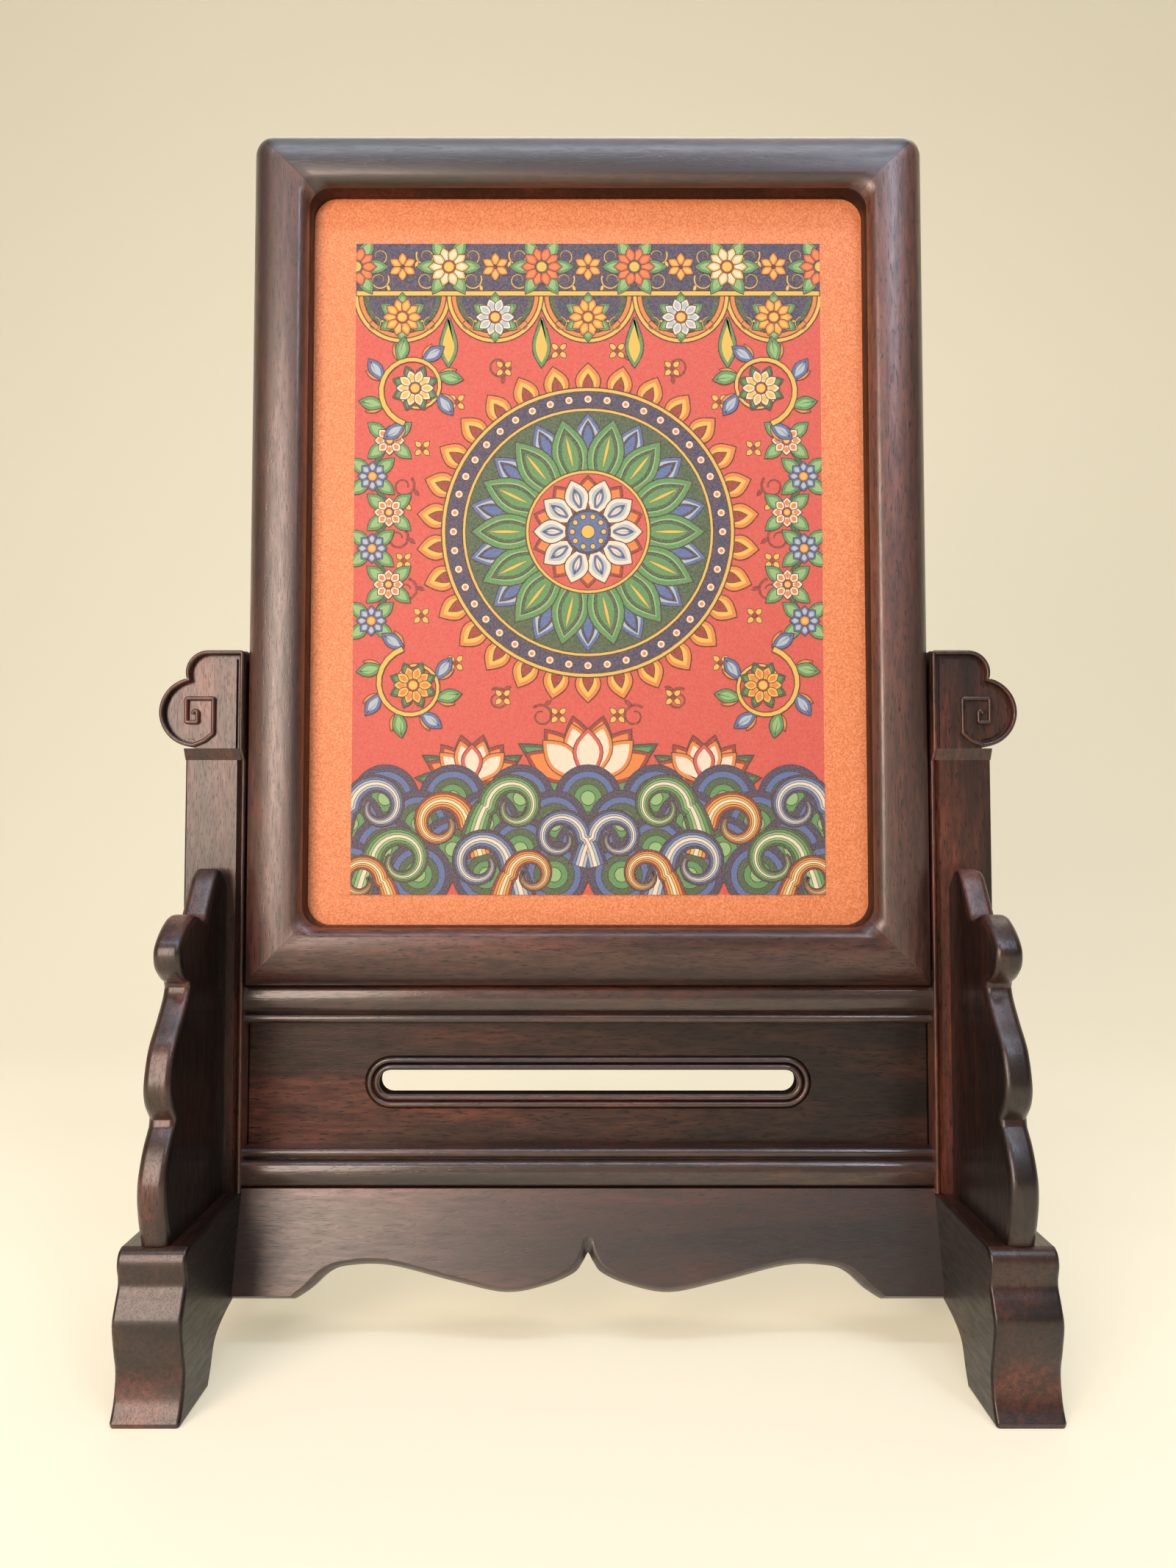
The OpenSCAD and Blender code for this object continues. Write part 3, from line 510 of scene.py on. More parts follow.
apron_wood = rosewood("waxed_rosewood_aprons", "x", FULL_SHINE, (0.04, 0.01, 0.03), RED_STOCK)
sawn = apron_edge(SAWN_ARCH, SAWN_POINT, LOBE_LIFT, 0)
carved = apron_edge(FACE_ARCH, FACE_POINT, LOBE_LIFT + LOBE_EASE, PAD_EASE)
belly = [(a + b) / 2 for a, b in zip(sawn, carved)]
for facing, end in ((-1, "front"), (1, "rear")):
    apron = bmesh.new()
    layers = ((carved, 0), (belly, EASE_BELLY), (sawn, EASE_DEEP), (sawn, APRON_THICK))
    skin(apron, [[(p.x, deep, -p.y) for p in outline] for outline, deep in layers])
    bmesh.ops.holes_fill(apron, edges=[e for e in apron.edges if e.is_boundary])
    tilt = Matrix.Rotation(math.radians(-APRON_LEAN), 4, "X")
    lean = Matrix.Translation((0, APRON_TOP_Y, LOWER_RAIL)) @ tilt
    bmesh.ops.transform(apron, matrix=lean, verts=apron.verts)
    bmesh.ops.bisect_plane(apron, geom=apron.verts[:] + apron.edges[:] + apron.faces[:],
                           plane_co=(0, 0, LOWER_RAIL), plane_no=(0, 0, 1), clear_outer=True)
    bmesh.ops.holes_fill(apron, edges=[e for e in apron.edges if e.is_boundary])
    if facing > 0:
        bmesh.ops.scale(apron, vec=(1, -1, 1), verts=apron.verts)
    fit(shade_piece(apron, f"scalloped_apron_{end}"), "stand", f"apron_{end}", "rosewood", apron_wood)


# Picture frame: four rosewood members with a rounded moulding, mitred at the corners.
# The moulding is fullest near the picture; the sight edge and the upper corners are rounded after glueing,
# and each stile has a tongue for the post's groove.
SCREEN_HALF, SCREEN_HIGH, MEMBER = 119.5, 303.0, 21.0
CREST, CREST_AT, PLATE_FACE, FRAME_BACK = -19.0, 7.6, -8.5, 9.0
CROWN_BEND, SIGHT_TURN, OUTER_TURN, PLATE_LAP = 24.0, 9.4, 16.2, 5.0
SIGHT_FALL, SIGHT_LIP = Vector((4.02, 7.71)), -11.0
SIGHT_R, CREST_R, CORNER_R, LOW_CORNER_R = 8.0, 1.5, 7.0, 0.4
TONGUE_LOW, TONGUE_TOP, TONGUE_HALF, TONGUE_DEEP = 126.8, 236.5, 4.0, 5.0
TONGUE_ROOT, TONGUE_ARRIS = 1.0, 0.5
LIP_BELOW_CREST, LIP_WIDE = 4.0, 2.0
MITRE_LINE = 0.03
BACK_EASE = 1.0
PALE_STOCK = ("#301d18", "#482d26", "#5b3b31", "#78493a", "#4d3129")
BARE = (1.4, 0.0, 0.3)
SCREEN_MID = SCREEN_LOW + SCREEN_HIGH / 2
crown_mid = Vector((CREST_AT, CREST + CROWN_BEND))
crown = arc(crown_mid, CROWN_BEND, 270 - SIGHT_TURN, 270 + OUTER_TURN, 14)
outer_r = (MEMBER - crown[-1].x) / (1 - math.sin(math.radians(OUTER_TURN)))
outer_mid = crown[-1] + (crown_mid - crown[-1]).normalized() * outer_r
fall = [p * SIGHT_FALL for p in arc((1, 0), 1, 180, 265, 9)[:-1]]
section = [Vector((p.x, SIGHT_LIP + p.y)) for p in fall] + crown
section += arc(outer_mid, outer_r, 270 + OUTER_TURN, 360, 8)[1:]
section += arc((MEMBER - BACK_EASE, FRAME_BACK - BACK_EASE), BACK_EASE, 0, 90, 3)
section += [Vector((PLATE_LAP, FRAME_BACK)), Vector((PLATE_LAP, PLATE_FACE)), Vector((0, PLATE_FACE))]


def turn_radius(u, outer):
    """Radius of the frame's corner a step out from the sight edge: round in and out, sharp at the crest."""
    if u < CREST_AT:
        return CREST_R + (SIGHT_R - CREST_R) * (1 - u / CREST_AT)
    return CREST_R + (outer - CREST_R) * (u - CREST_AT) / (MEMBER - CREST_AT)


def member_end(u, deep, half_across, half_along, outer):
    """The end of one line along a frame member, from its mitre to where it runs straight."""
    r = turn_radius(u, outer)
    mid = (half_across + u - r, half_along + u - r)
    return [(p.x, deep, p.y - MITRE_LINE) for p in arc(mid, r, 45, 0, 8)]


def member_row(u, deep, half_across, half_along, first, last):
    """One line along a frame member from mitre to mitre: across the screen, depth, along the member."""
    low = [(x, y, -z) for x, y, z in reversed(member_end(u, deep, half_across, half_along, last))]
    return member_end(u, deep, half_across, half_along, first) + low


def dull_shaded_lip(bm, axis, sight_half):
    """Leaves the steep lip beside the picture unwaxed, in the darker finish that is partly painted shade."""
    for face in bm.faces:
        middle = face.calc_center_median()
        steep = CREST + LIP_BELOW_CREST < middle.y < PLATE_FACE + HAIR
        if steep and middle[axis] < sight_half + LIP_WIDE:
            face.material_index = 1


# The lip takes the darkest stock and no wax, so it stays dull; where that stock is darker than the stiles and
# bottom rail it is painted shade beside the bright plate
shaded_lip_wood = rosewood("dull_rosewood_lip_painted_shade", "z", BARE)
stile_wood = rosewood("waxed_rosewood_stiles", "z", FULL_SHINE, (0.02, 0.05, 0.037), PALE_STOCK)
sight_half_x, sight_half_z = SCREEN_HALF - MEMBER, SCREEN_HIGH / 2 - MEMBER
for side, hand in ((-1, "left"), (1, "right")):
    stile = bmesh.new()
    rows = [member_row(p.x, p.y, sight_half_x, sight_half_z, CORNER_R, LOW_CORNER_R) for p in section]
    skin(stile, rows, ring=False, closed=True)
    dull_shaded_lip(stile, 0, sight_half_x)
    bmesh.ops.holes_fill(stile, edges=[e for e in stile.edges if e.is_boundary])
    bmesh.ops.scale(stile, vec=(side, 1, 1), verts=stile.verts)
    bmesh.ops.translate(stile, vec=(0, 0, SCREEN_MID), verts=stile.verts)
    board(stile, oblong(-TONGUE_HALF, TONGUE_HALF, TONGUE_LOW, TONGUE_TOP), across(side),
          SCREEN_HALF - TONGUE_ROOT, SCREEN_HALF + TONGUE_DEEP, TONGUE_ARRIS)
    fit(shade_piece(stile, f"moulded_stile_{hand}"), "screen", f"frame_stile_{hand}", "rosewood",
        stile_wood, shaded_lip_wood)
for up, end, corner, polish, stock in ((1, "top", CORNER_R, FULL_SHINE, DARK_STOCK),
                                       (-1, "bottom", LOW_CORNER_R, SOFT_SHINE, PALE_STOCK)):
    frame_rail_wood = rosewood(f"waxed_rosewood_{end}_rail", "x", polish, (0.05, 0.013, 0.06 * up), stock)
    rail = bmesh.new()
    rows = [member_row(p.x, p.y, sight_half_z, sight_half_x, corner, corner) for p in section]
    skin(rail, [[(z, y, x) for x, y, z in row] for row in rows], ring=False, closed=True)
    dull_shaded_lip(rail, 2, sight_half_z)
    bmesh.ops.holes_fill(rail, edges=[e for e in rail.edges if e.is_boundary])
    bmesh.ops.scale(rail, vec=(1, 1, up), verts=rail.verts)
    bmesh.ops.translate(rail, vec=(0, 0, SCREEN_MID), verts=rail.verts)
    fit(shade_piece(rail, f"moulded_frame_rail_{end}"), "screen", f"frame_rail_{end}", "rosewood",
        frame_rail_wood, shaded_lip_wood)


# Picture plate: a sheet of aluminium behind the sight edge, blasted with coarse grit and dyed orange.
# The grit leaves fine pits that catch the light as a sandy sparkle.
PLATE_HALF_X, PLATE_LOW, PLATE_TOP, PLATE_BACK = 103.2, 138.1, 408.5, -4.5
GRIT_MM, PIT_DEEP_MM, SHEET_ARRIS = 0.55, 0.3, 0.3


def grit_pits(tree, shader):
    """Pits the surface as the grit did, and gives their pattern to colour it with."""
    place = add_node(tree, "ShaderNodeTexCoord").outputs["Object"]
    grit = add_node(tree, "ShaderNodeTexNoise", {
        "Vector": place, "Scale": 1000 / GRIT_MM, "Detail": 2.0, "Roughness": 0.7}).outputs["Fac"]
    relief = add_node(tree, "ShaderNodeBump", {
        "Strength": 0.25, "Distance": PIT_DEEP_MM * MM, "Height": grit})
    tree.links.new(relief.outputs["Normal"], shader.inputs["Normal"])
    return grit


plate_finish, tree, shader = new_finish("grit_blasted_orange_plate")
sand = ramp(tree, grit_pits(tree, shader), [(0.3, "#c66d3f"), (0.5, "#df8553"), (0.7, "#f0a475")])
tree.links.new(sand, shader.inputs["Base Color"])
shader.inputs["Roughness"].default_value = 0.55
plate = bmesh.new()
board(plate, oblong(-PLATE_HALF_X, PLATE_HALF_X, PLATE_LOW, PLATE_TOP), facing_out(1),
      PLATE_FACE, PLATE_BACK, SHEET_ARRIS, 2)
fit(shade_piece(plate, "grained_orange_plate"), "screen", "picture_plate", "orange_plate", plate_finish)


# Printed picture: a colour print on the grained plate, in thin flat inks with a fine dark line round each
# shape. A traditional ornament of a lotus medallion between a scalloped canopy and rows of waves.
PRINT_HALF_X, PRINT_HALF_Z, PRINT_MID = 83.5, 117.0, 270.3
INK_FILM, INK_STEP, LINE_WIDE = 0.02, 0.0015, 0.4
INKS = {"line": "#2b2a30", "red": "#c9514a", "deep_red": "#8f2f2c", "green": "#458f56",
        "pale_green": "#83b678", "dark_green": "#2b5843", "navy": "#2c3b5a", "blue": "#41699f",
        "pale_blue": "#a3b8c2", "yellow": "#dcb650", "orange": "#d9803a", "white": "#e2d8c2"}
MEDALLION = Vector((0, 12))


def print_ink(colour, name):
    """Ink on the grained plate: the tips of the grit show through it as pale sand."""
    made, tree, shader = new_finish(f"printed_ink_{name}")
    bare = add_node(tree, "ShaderNodeMapRange", {
        "Value": grit_pits(tree, shader), "From Min": 0.35, "From Max": 0.75, "To Min": 0.0, "To Max": 0.25})
    sandy = add_node(tree, "ShaderNodeMix", {
        "Factor": bare.outputs["Result"], 6: linear(colour), 7: linear("#d7a67c")}, data_type="RGBA")
    tree.links.new(sandy.outputs[2], shader.inputs["Base Color"])
    shader.inputs["Roughness"].default_value = 0.6
    return made


picture = bmesh.new()
ink_place = list(INKS)
passes = itertools.count()


def paint(ink, outlines, line=LINE_WIDE, heart=0.0, heart_ink="white"):
    """Prints shapes over the last ones, each with a dark line round it and another ink in its heart."""
    level = INK_FILM + INK_STEP * next(passes)
    shapes = []
    for i, outline in enumerate(outlines):
        deep = PLATE_FACE - level - i % 2 * INK_STEP / 2
        shape = picture.faces.new([picture.verts.new((p[0], deep, PRINT_MID + p[1])) for p in outline])
        shape.normal_update()
        if shape.normal.y > 0:
            shape.normal_flip()
        shape.material_index = ink_place.index(ink)
        shapes.append(shape)
    if line:
        edged = bmesh.ops.inset_individual(picture, faces=shapes, thickness=line, use_even_offset=True)
        for rim in edged["faces"]:
            rim.material_index = 0
    if heart:
        bmesh.ops.inset_individual(picture, faces=shapes, thickness=heart, use_even_offset=True)
        for shape in shapes:
            shape.material_index = ink_place.index(heart_ink)


def disc(centre, radius, points=28):
    return arc(centre, radius, 0, 360, points)[:-1]


def strip(low, high):
    """A band across the whole print."""
    return oblong(-PRINT_HALF_X, PRINT_HALF_X, low, high)


def petal(centre, turn, near, far, wide, swell=1.2, steps=9):
    """A petal with a blunt foot and a pointed tip that leaves a centre at an angle in degrees."""
    ahead = Vector((math.cos(math.radians(turn)), math.sin(math.radians(turn))))
    aside = Vector((-ahead.y, ahead.x))
    base = Vector(centre) + ahead * near
    right, left = [], []
    for i in range(steps):
        share = i / steps
        spread = aside * (wide / 2 * math.sin(math.pi * (0.15 + 0.85 * share) ** swell))
        right.append(base + ahead * (far - near) * share - spread)
        left.append(base + ahead * (far - near) * share + spread)
    return right + [base + ahead * (far - near)] + left[::-1]


def ring(centre, count, near, far, wide, turn=0.0, swell=1.2):
    return [petal(centre, turn + 360 * i / count, near, far, wide, swell) for i in range(count)]


def stroke(path, start, end):
    """A brush line along a path that changes from one width to another."""
    sides = ([], [])
    for i, place in enumerate(path):
        way = path[min(i + 1, len(path) - 1)] - path[max(i - 1, 0)]
        aside = Vector((-way.y, way.x)).normalized() * (start + (end - start) * i / (len(path) - 1)) / 2
        sides[0].append(place + aside)
        sides[1].append(place - aside)
    return sides[0] + sides[1][::-1]


def both(shapes):
    """Shapes and their mirror images on the other side of the picture."""
    return shapes + [[(-p[0], p[1]) for p in shape] for shape in shapes]


def rosette(centre, radius, count, ink, heart_ink, eye_ink):
    """A flower seen from above, on both sides of the picture unless it stands in the middle."""
    pair = both if centre[0] else list
    paint(ink, pair(ring(centre, count, radius * 0.25, radius, radius * 5 / count)), 0.3, 0.55, heart_ink)
    paint(eye_ink, pair([disc(centre, radius * 0.34, 16)]), 0.3, 0.5, "yellow")


def curl(centre, size, way, start, reach=330):
    """The line of a vine that winds in towards a centre."""
    count = reach // 15
    turns = [start + way * 15 * i for i in range(count + 1)]
    return [arc(centre, size * (1 - 0.62 * i / count), turn, turn, 1)[0] for i, turn in enumerate(turns)]


def tendrils(places, size, ink, pair=both):
    """Small curled shoots that fill a ground, each with a bud at its end."""
    for centre, way, start in places:
        line = curl(centre, size, way, start, 420)
        paint(ink, pair([stroke(line, size * 0.24, size * 0.12)]), 0.18)
        paint(ink, pair([petal(line[4], start + way * 100, 0, size * 0.8, size * 0.4)]), 0.18)


def scroll(centre, size, way, start, flower_inks):
    """A vine on each side that curls in round a flower, with leaves along its outer edge."""
    line = curl(centre, size, way, start, 450)
    for i in range(0, 21, 3):
        lean = start + way * (15 * i + 40)
        inks = ("green", "pale_green") if i % 2 else ("blue", "pale_blue")
        spur = petal(line[i], lean - way * 28, 0.2, size * 0.55, size * 0.24)
        leaf = petal(line[i], lean, 0.2, size * 0.72, size * 0.4)
        paint("orange", both([spur]), 0.3, 0.5, "yellow")
        paint(inks[0], both([leaf]), 0.35, 1.0, inks[1])
    paint("yellow", both([stroke(line, 2.4, 1.2)]), 0.35)
    paint("dark_green", both(ring(centre, 8, size * 0.2, size * 0.66, size * 0.3, 22)), 0.3, 0.7, "green")
    rosette(centre, size * 0.52, 10, *flower_inks)


def breaker(root, size, way, inks):
    """A wave that rises, curls over and ends in a spiral, striped along its length in four inks."""
    foot = Vector(root)
    rise = [foot + Vector((way * x, y)) * size for x, y in ((-1.5, -1.2), (-1.3, -0.5), (-1.08, 0.02))]
    line = fair(rise, 5)[:-1] + curl(foot, size, -way, 180 if way > 0 else 0, 390)
    for ink, wide, edge in zip(inks, (1.05, 0.76, 0.48, 0.2), (0.4, 0.25, 0.25, 0.2)):
        paint(ink, both([stroke(line, size * wide, size * wide * 0.22)]), edge)


# Red ground, with florets and curled shoots round the medallion
paint("red", [strip(-PRINT_HALF_Z, PRINT_HALF_Z)], 0)
shoots = (-76, -62, -18, -2, 14, 62, 76)
tendrils([(arc(MEDALLION, 68, turn, turn, 1)[0], 1, turn + 120) for turn in shoots], 4.2, "deep_red")
for turn in range(-81, 82, 18):
    spot = arc(MEDALLION, 66.5, turn, turn, 1)[0]
    paint("yellow", both(ring(spot, 4, 0.4, 3.8, 2.3, 45)), 0.25)
    paint("deep_red", both([disc(spot, 1.1, 12)]), 0.2)

# Canopy of five scallops with a flower in each, under a dark band of flowers and shoots
SCALLOP = PRINT_HALF_X * 2 / 5
scallops = [(SCALLOP * i, 98) for i in range(-2, 3)]
drops = [petal((SCALLOP * (i + 0.5), 90), -90, 0, 19, 7, 1.5) for i in range(2)]
paint("green", both(drops), 0.4, 1.0, "yellow")
paint("yellow", [disc(c, 17.6, 48) for c in scallops], 0.45)
paint("orange", [disc(c, 16.0, 48) for c in scallops], 0.45)
paint("dark_green", [disc(c, 14.2, 48) for c in scallops], 0.45, 1.6, "navy")
paint("navy", [strip(99, PRINT_HALF_Z)], 0)
tendrils([((SCALLOP * x, 108 + y), way, 90 + way * 60) for x in (0.25, 0.75, 1.25, 1.75, 2.25)
          for y, way in ((-4.4, 1), (4.4, -1))], 3.6, "yellow")
tendrils([((SCALLOP * x, 87.5), 1 if x % 1 < 0.5 else -1, 90) for x in (0.3, 0.7, 1.3, 1.7, 2.3)],
         2.6, "yellow")
paint("yellow", [strip(97.6, 99.8)], 0.35)
for i in range(3):
    inks = ("orange", "yellow", "deep_red") if i % 2 == 0 else ("white", "pale_blue", "deep_red")
    flower = (SCALLOP * i, 90)
    paint("green", (both if i else list)(ring(flower, 6, 2, 9.4, 4.4, 30)), 0.3, 0.8, "pale_green")
    rosette(flower, 7.2, 10, *inks)
for i in range(3):
    inks = ("red", "orange", "dark_green") if i % 2 == 0 else ("yellow", "white", "deep_red")
    flower = (SCALLOP * (i + 0.5), 108.5)
    paint("green", both(ring(flower, 6, 2, 12, 5.2, 0)), 0.3, 0.9, "pale_green")
    rosette(flower, 7.6, 10, *inks)
    star = ring((SCALLOP * i, 108.5), 6, 0.6, 5.4, 3.2, 30)
    paint("orange", (both if i else list)(star), 0.25, 0.5, "yellow")

# Lotus medallion: flame petals, a beaded navy ring, and rings of petals round a dark heart
paint("orange", ring(MEDALLION, 30, 48, 61.5, 9.5, 6), 0.4, 1.2, "yellow")
paint("deep_red", ring(MEDALLION, 30, 48, 57.5, 4.2, 6), 0.25)
paint("yellow", [disc(MEDALLION, 52.5, 72)], 0.45)
paint("navy", [disc(MEDALLION, 51, 72)], 0.3)
paint("white", [disc(p, 1.55, 14) for p in disc(MEDALLION, 48, 44)], 0.25, 0.6, "orange")
paint("yellow", [disc(MEDALLION, 45, 64)], 0.4)
paint("dark_green", [disc(MEDALLION, 43.8, 64)], 0.3)
paint("blue", ring(MEDALLION, 14, 20, 43.4, 12, 360 / 28), 0.4, 1.0, "pale_blue")
paint("navy", ring(MEDALLION, 14, 28, 40.5, 5, 360 / 28), 0.25, 0.7, "blue")
paint("green", ring(MEDALLION, 14, 16, 42, 13.5), 0.45, 1.5, "pale_green")
paint("dark_green", ring(MEDALLION, 14, 19, 38.5, 8.4), 0.3, 1.0, "green")
paint("yellow", ring(MEDALLION, 14, 24, 36, 1.2), 0.1)
paint("yellow", [disc(MEDALLION, 22.5, 48)], 0.45)
paint("red", [disc(MEDALLION, 21.2, 48)], 0.3)
paint("deep_red", ring(MEDALLION, 10, 8, 20.6, 8.5, 18), 0.35, 0.9, "orange")
paint("white", ring(MEDALLION, 10, 7, 19.8, 9.0), 0.4, 1.3, "pale_blue")
paint("blue", ring(MEDALLION, 10, 9, 16.5, 3.2), 0.2, 0.6, "white")
paint("navy", [disc(MEDALLION, 8.2, 32)], 0.35, 0.8, "blue")
paint("yellow", [disc(p, 1.15, 12) for p in disc(MEDALLION, 5.6, 10)] + [disc(MEDALLION, 2.6, 18)], 0.3)

# Curled vines in the four corners, and a straight one with leaves and flowers up each side
bends = [Vector((77 if i % 2 else 71, 45 - 13 * i)) for i in range(6)]
paint("dark_green", both([stroke(fair(bends, 8), 2.0, 2.0)]), 0.3)
for i, bend in enumerate(bends):
    leaves = [petal(bend, turn, 1.2, 10.5, 5.2) for turn in (40, 140, 220, 320)]
    paint("green", both(leaves), 0.3, 0.9, "pale_green")
    rosette(bend, 5.6, 8, *(("blue", "pale_blue", "orange") if i % 2 else ("white", "orange", "deep_red")))
scroll((62, 64), 13.5, 1, -75, ("white", "yellow", "deep_red"))
scroll((62, -43), 13.5, -1, 75, ("yellow", "orange", "deep_red"))

# Lotus flowers and leaves that rise from the water; each row of petals has its ink, heart, first angle,
# number and reach
PETAL_ROWS = (("deep_red", "orange", 26, 6, 1.0), ("orange", "white", 44, 4, 0.9),
              ("red", "white", 90, 1, 0.8))
for centre, far in ((41, 18), (0, 25)):
    flower = (centre, -78)
    pair = both if centre else list
    for turn in (6, 174, 30, 150):
        paint("dark_green", pair([petal(flower, turn, 0, far * 1.15, far * 0.42)]), 0.4, 1.0, "green")
    for ink, heart_ink, first, count, reach in PETAL_ROWS:
        for i in range(count):
            turn = first + (180 - 2 * first) * i / max(count - 1, 1)
            paint(ink, pair([petal(flower, turn, 0, far * reach, far * 0.44, 1.5)]), 0.35, 1.1, heart_ink)

# Waves along the bottom: breakers in four inks over rows of scales
WAVE_PITCH = PRINT_HALF_X * 2 / 7
for row in range(4):
    count = 7 + row % 2
    crests = [((i - (count - 1) / 2) * WAVE_PITCH, -83 - 9 * row) for i in range(count)]
    for j, ink in enumerate(("navy", "blue", "dark_green", "green", "pale_green")):
        paint(ink, [disc(crest, WAVE_PITCH / 2 - 2.3 * j, 36) for crest in crests], 0.3)
SEA_INKS = (("navy", "blue", "pale_blue", "white"), ("dark_green", "green", "pale_green", "white"),
            ("deep_red", "orange", "yellow", "white"))
# Each breaker's place, size, way of curling and set of inks
BREAKERS = ((74, -86, 9.5, -1, 0), (52, -92, 9.5, 1, 2), (26, -86, 9.5, -1, 1), (10, -97, 8.5, 1, 0),
            (66, -105, 10, -1, 1), (38, -106, 10, 1, 0), (20, -110, 7.5, -1, 2), (80, -112, 7.5, 1, 2))
for x, y, size, way, inks in BREAKERS:
    breaker((x, y), size, way, SEA_INKS[inks])

# Trimmed to the edge of the print, and given the thickness of one film of ink
for axis, reach in ((0, PRINT_HALF_X), (2, PRINT_HALF_Z)):
    for way in (-1, 1):
        edge, out = Vector((0, 0, PRINT_MID)), Vector((0, 0, 0))
        edge[axis] += way * reach
        out[axis] = way
        bmesh.ops.bisect_plane(picture, geom=picture.verts[:] + picture.edges[:] + picture.faces[:],
                               plane_co=edge, plane_no=out, clear_outer=True)
bmesh.ops.scale(picture, vec=(MM, MM, MM), verts=picture.verts)
mesh = bpy.data.meshes.new("lotus_print")
picture.to_mesh(mesh)
picture.free()
lotus_print = bpy.data.objects.new("lotus_print", mesh)
bpy.context.collection.objects.link(lotus_print)
film = lotus_print.modifiers.new("ink_film", "SOLIDIFY")
film.thickness = INK_FILM * MM
finishes = [print_ink(colour, name) for name, colour in INKS.items()]
fit(lotus_print, "screen", "picture_print", "printed_picture", *finishes)


# Back board and sticks: a thin planed softwood board behind the plate, held by four mitred rosewood sticks.
# The sticks are pinned to the frame with small brass brads. Loose softwood tenons hold the frame's mitres.
REBATE_HALF_X, REBATE_HALF_Z = 103.5, 135.5
BOARD_GAP, STICK_WIDE, STICK_FRONT, STICK_BACK, STICK_ARRIS = 0.3, 6.0, -0.5, 4.5, 0.6
RING_MM, TARNISH_MM = 6.0, 1.0

# Planed softwood: pale brown with darker growth lines along the board, and no shine
plain_wood, tree, shader = new_finish("planed_softwood")
place = add_node(tree, "ShaderNodeTexCoord").outputs["Object"]
along = add_node(tree, "ShaderNodeMapping", {"Vector": place, "Scale": (1, 1, 0.05)})
rings = add_node(tree, "ShaderNodeTexNoise", {
    "Vector": along.outputs["Vector"], "Scale": 1000 / RING_MM, "Detail": 8.0, "Roughness": 0.72})
pale = ramp(tree, rings.outputs["Fac"], [(0.3, "#8d6c49"), (0.5, "#a98560"), (0.7, "#bd9a72")])
tree.links.new(pale, shader.inputs["Base Color"])
shader.inputs["Roughness"].default_value = 0.7
back = bmesh.new()
x, z = REBATE_HALF_X - BOARD_GAP, REBATE_HALF_Z - BOARD_GAP
board(back, oblong(-x, x, SCREEN_MID - z, SCREEN_MID + z), facing_out(1), PLATE_BACK, STICK_FRONT,
      SHEET_ARRIS, 2)
fit(shade_piece(back, "planed_back_board"), "screen", "back_board", "plain_wood", plain_wood)

level, upstanding = (REBATE_HALF_Z, REBATE_HALF_X), (REBATE_HALF_X, REBATE_HALF_Z)
for name, turn, (reach, length) in (("top", 0, level), ("right", 90, upstanding),
                                    ("bottom", 180, level), ("left", 270, upstanding)):
    mitred = [(-length, reach), (length, reach), (length - STICK_WIDE, reach - STICK_WIDE),
              (STICK_WIDE - length, reach - STICK_WIDE)]
    stick = bmesh.new()
    board(stick, mitred, facing_out(1), STICK_FRONT, STICK_BACK, STICK_ARRIS, 2)
    quarter = Matrix.Rotation(math.radians(turn), 3, "Y")
    bmesh.ops.rotate(stick, cent=(0, 0, 0), matrix=quarter, verts=stick.verts)
    bmesh.ops.translate(stick, vec=(0, 0, SCREEN_MID), verts=stick.verts)
    fit(shade_piece(stick, f"mitred_stick_{name}"), "screen", f"stick_{name}", "rosewood",
        frame_rail_wood if turn % 180 == 0 else stile_wood)

# Dull brass: yellow metal with small tarnished spots
brass, tree, shader = new_finish("dull_brass")
place = add_node(tree, "ShaderNodeTexCoord").outputs["Object"]
tarnish = add_node(tree, "ShaderNodeTexNoise", {"Vector": place, "Scale": 1000 / TARNISH_MM, "Detail": 2.0})
tone = ramp(tree, tarnish.outputs["Fac"], [(0.35, "#8a6a30"), (0.65, "#c29a50")])
tree.links.new(tone, shader.inputs["Base Color"])
shader.inputs["Metallic"].default_value = 1.0
shader.inputs["Roughness"].default_value = 0.4
for name, finish in (("brads", brass), ("mitre_tenons", plain_wood)):
    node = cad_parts[name]
    node.data.materials.clear()
    node.data.materials.append(finish)


# Floor and backdrop: one sheet of cream paper that sweeps up behind the object in a wide curve.
# It glows a little to the eye and in reflections, so that it looks pale without more light on the object.
SWEEP_FRONT, SWEEP_BACK, SWEEP_HIGH, SWEEP_R, SWEEP_HALF = -6.0, 1.1, 4.0, 0.6, 6.0
PAPER_GLOW = 0.52
cream, tree, shader = new_finish("cream_paper")
shader.inputs["Base Color"].default_value = linear("#d8d3c1")
shader.inputs["Emission Color"].default_value = linear("#f1e4c3")
shader.inputs["Roughness"].default_value = 0.9
ray = add_node(tree, "ShaderNodeLightPath").outputs
seen = ray["Is Camera Ray"]
for other in ("Is Glossy Ray", "Is Transmission Ray"):
    seen = add_node(tree, "ShaderNodeMath", {0: seen, 1: ray[other]}, operation="MAXIMUM").outputs["Value"]
glow = add_node(tree, "ShaderNodeMath", {0: seen, 1: PAPER_GLOW}, operation="MULTIPLY")
tree.links.new(glow.outputs["Value"], shader.inputs["Emission Strength"])
sweep = bmesh.new()
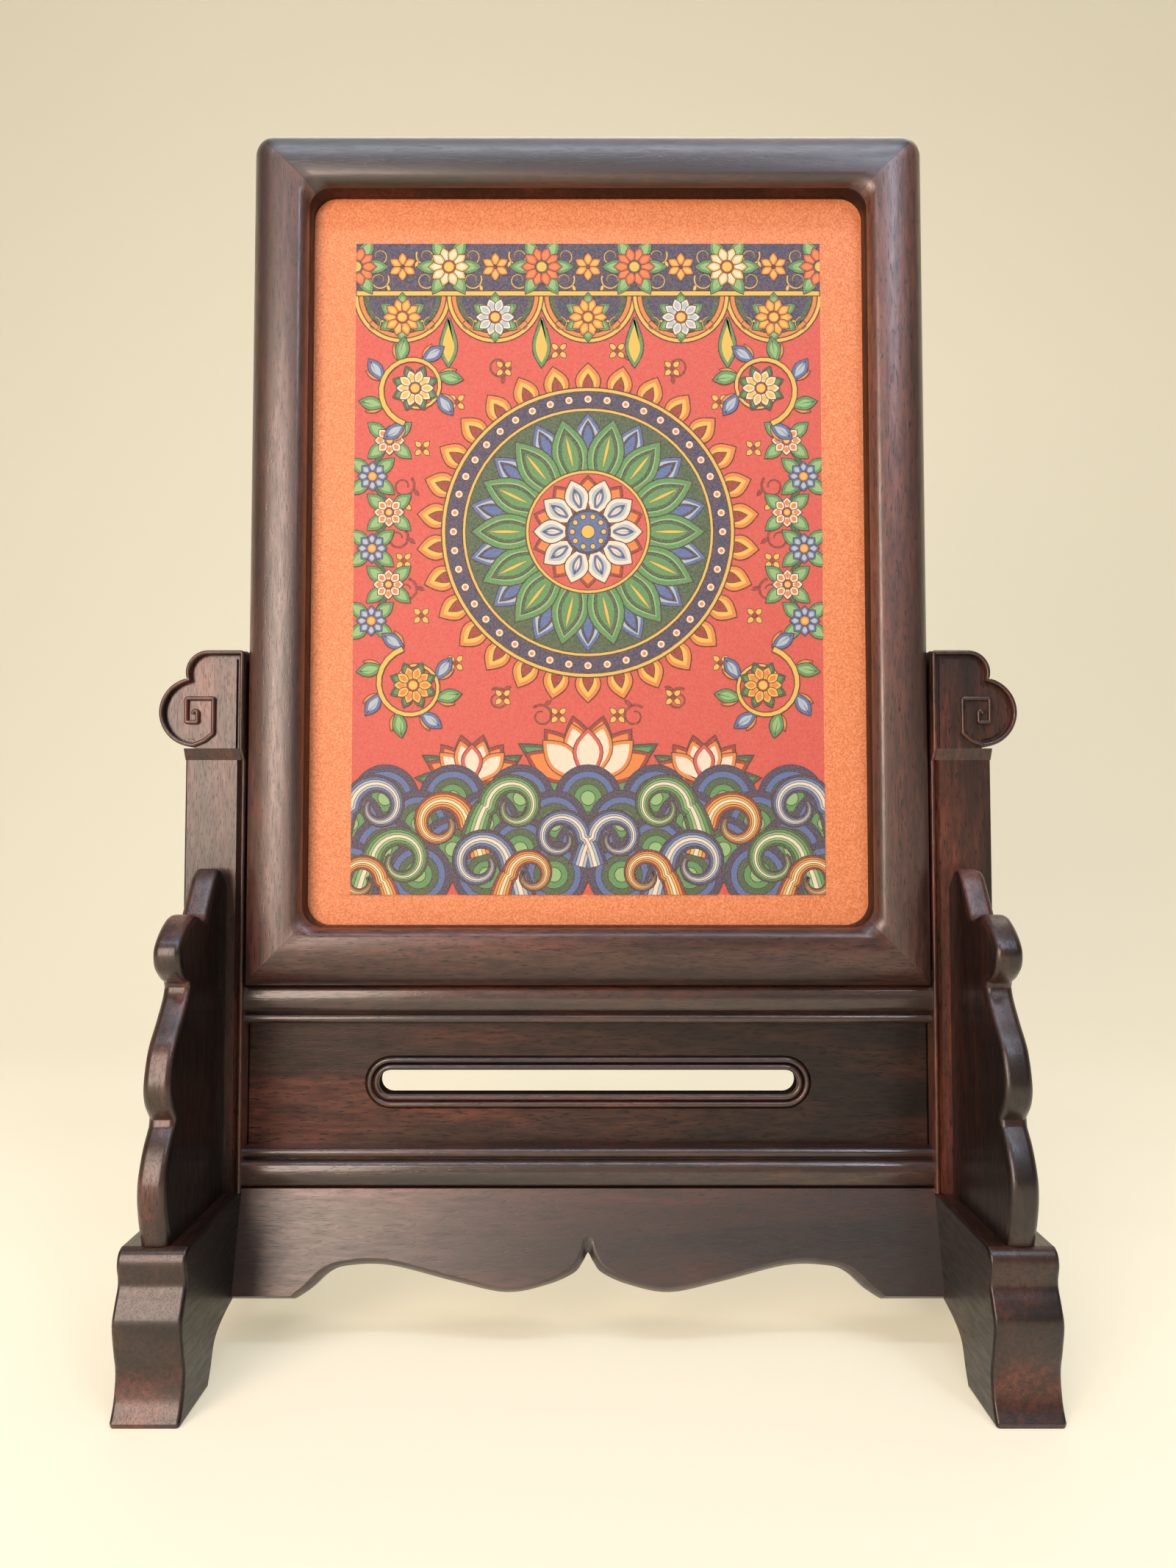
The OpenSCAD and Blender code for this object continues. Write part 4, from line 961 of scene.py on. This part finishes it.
corner = arc((SWEEP_BACK - SWEEP_R, SWEEP_R), SWEEP_R, -90, 0, 16)
section = [Vector((SWEEP_FRONT, 0))] + corner + [Vector((SWEEP_BACK, SWEEP_HIGH))]
skin(sweep, [[(x, p.x, p.y) for p in section] for x in (-SWEEP_HALF, SWEEP_HALF)], ring=False)
mesh = bpy.data.meshes.new("paper_sweep")
sweep.to_mesh(mesh)
sweep.free()
mesh.shade_smooth()
mesh.materials.append(cream)
backdrop = bpy.data.objects.new("paper_sweep", mesh)
bpy.context.collection.objects.link(backdrop)


# Studio light: a warm window in front on the left, a small cool one high on the right, cool soft light
# and a skylight from above, and a lamp for the back.
def soft_light(name, place, target, size, power, colour, spread=180):
    lamp = bpy.data.lights.new(name, "AREA")
    lamp.shape = "RECTANGLE"
    lamp.size, lamp.size_y = size
    lamp.energy = power
    lamp.color = linear(colour)[:3]
    lamp.spread = math.radians(spread)
    holder = bpy.data.objects.new(name, lamp)
    holder.location = place
    holder.rotation_euler = (Vector(target) - Vector(place)).to_track_quat("-Z", "Y").to_euler()
    bpy.context.collection.objects.link(holder)


MIDDLE = (0, 0, 0.22)
soft_light("window_left", (-0.47, -0.92, 0.4), (0, 0, 0.2), (0.46, 0.62), 9, "#ffe4d2")
soft_light("window_right", (0.36, -0.7, 0.78), (0.1, 0, 0.15), (0.12, 0.3), 1.5, "#e2ecff")
soft_light("front_soft", (0.05, -1.0, 0.8), MIDDLE, (1.2, 0.9), 1.0, "#e8eeff")
soft_light("top_soft", (0, -0.32, 1.2), (0, -0.32, 0), (1.0, 0.85), 3.2, "#e4ecff")
soft_light("skylight", (0, -0.6, 1.25), MIDDLE, (1.4, 0.12), 5.0, "#e6eeff")
soft_light("rear_soft", (0.1, 0.75, 1.7), MIDDLE, (1.6, 0.6), 2.8, "#fff6ec", 110)
world = bpy.data.worlds.new("pale_room")
bpy.context.scene.world = world
world.use_nodes = True
sky = world.node_tree.nodes["Background"]
sky.inputs["Color"].default_value = linear("#f3ead6")
sky.inputs["Strength"].default_value = 0.18
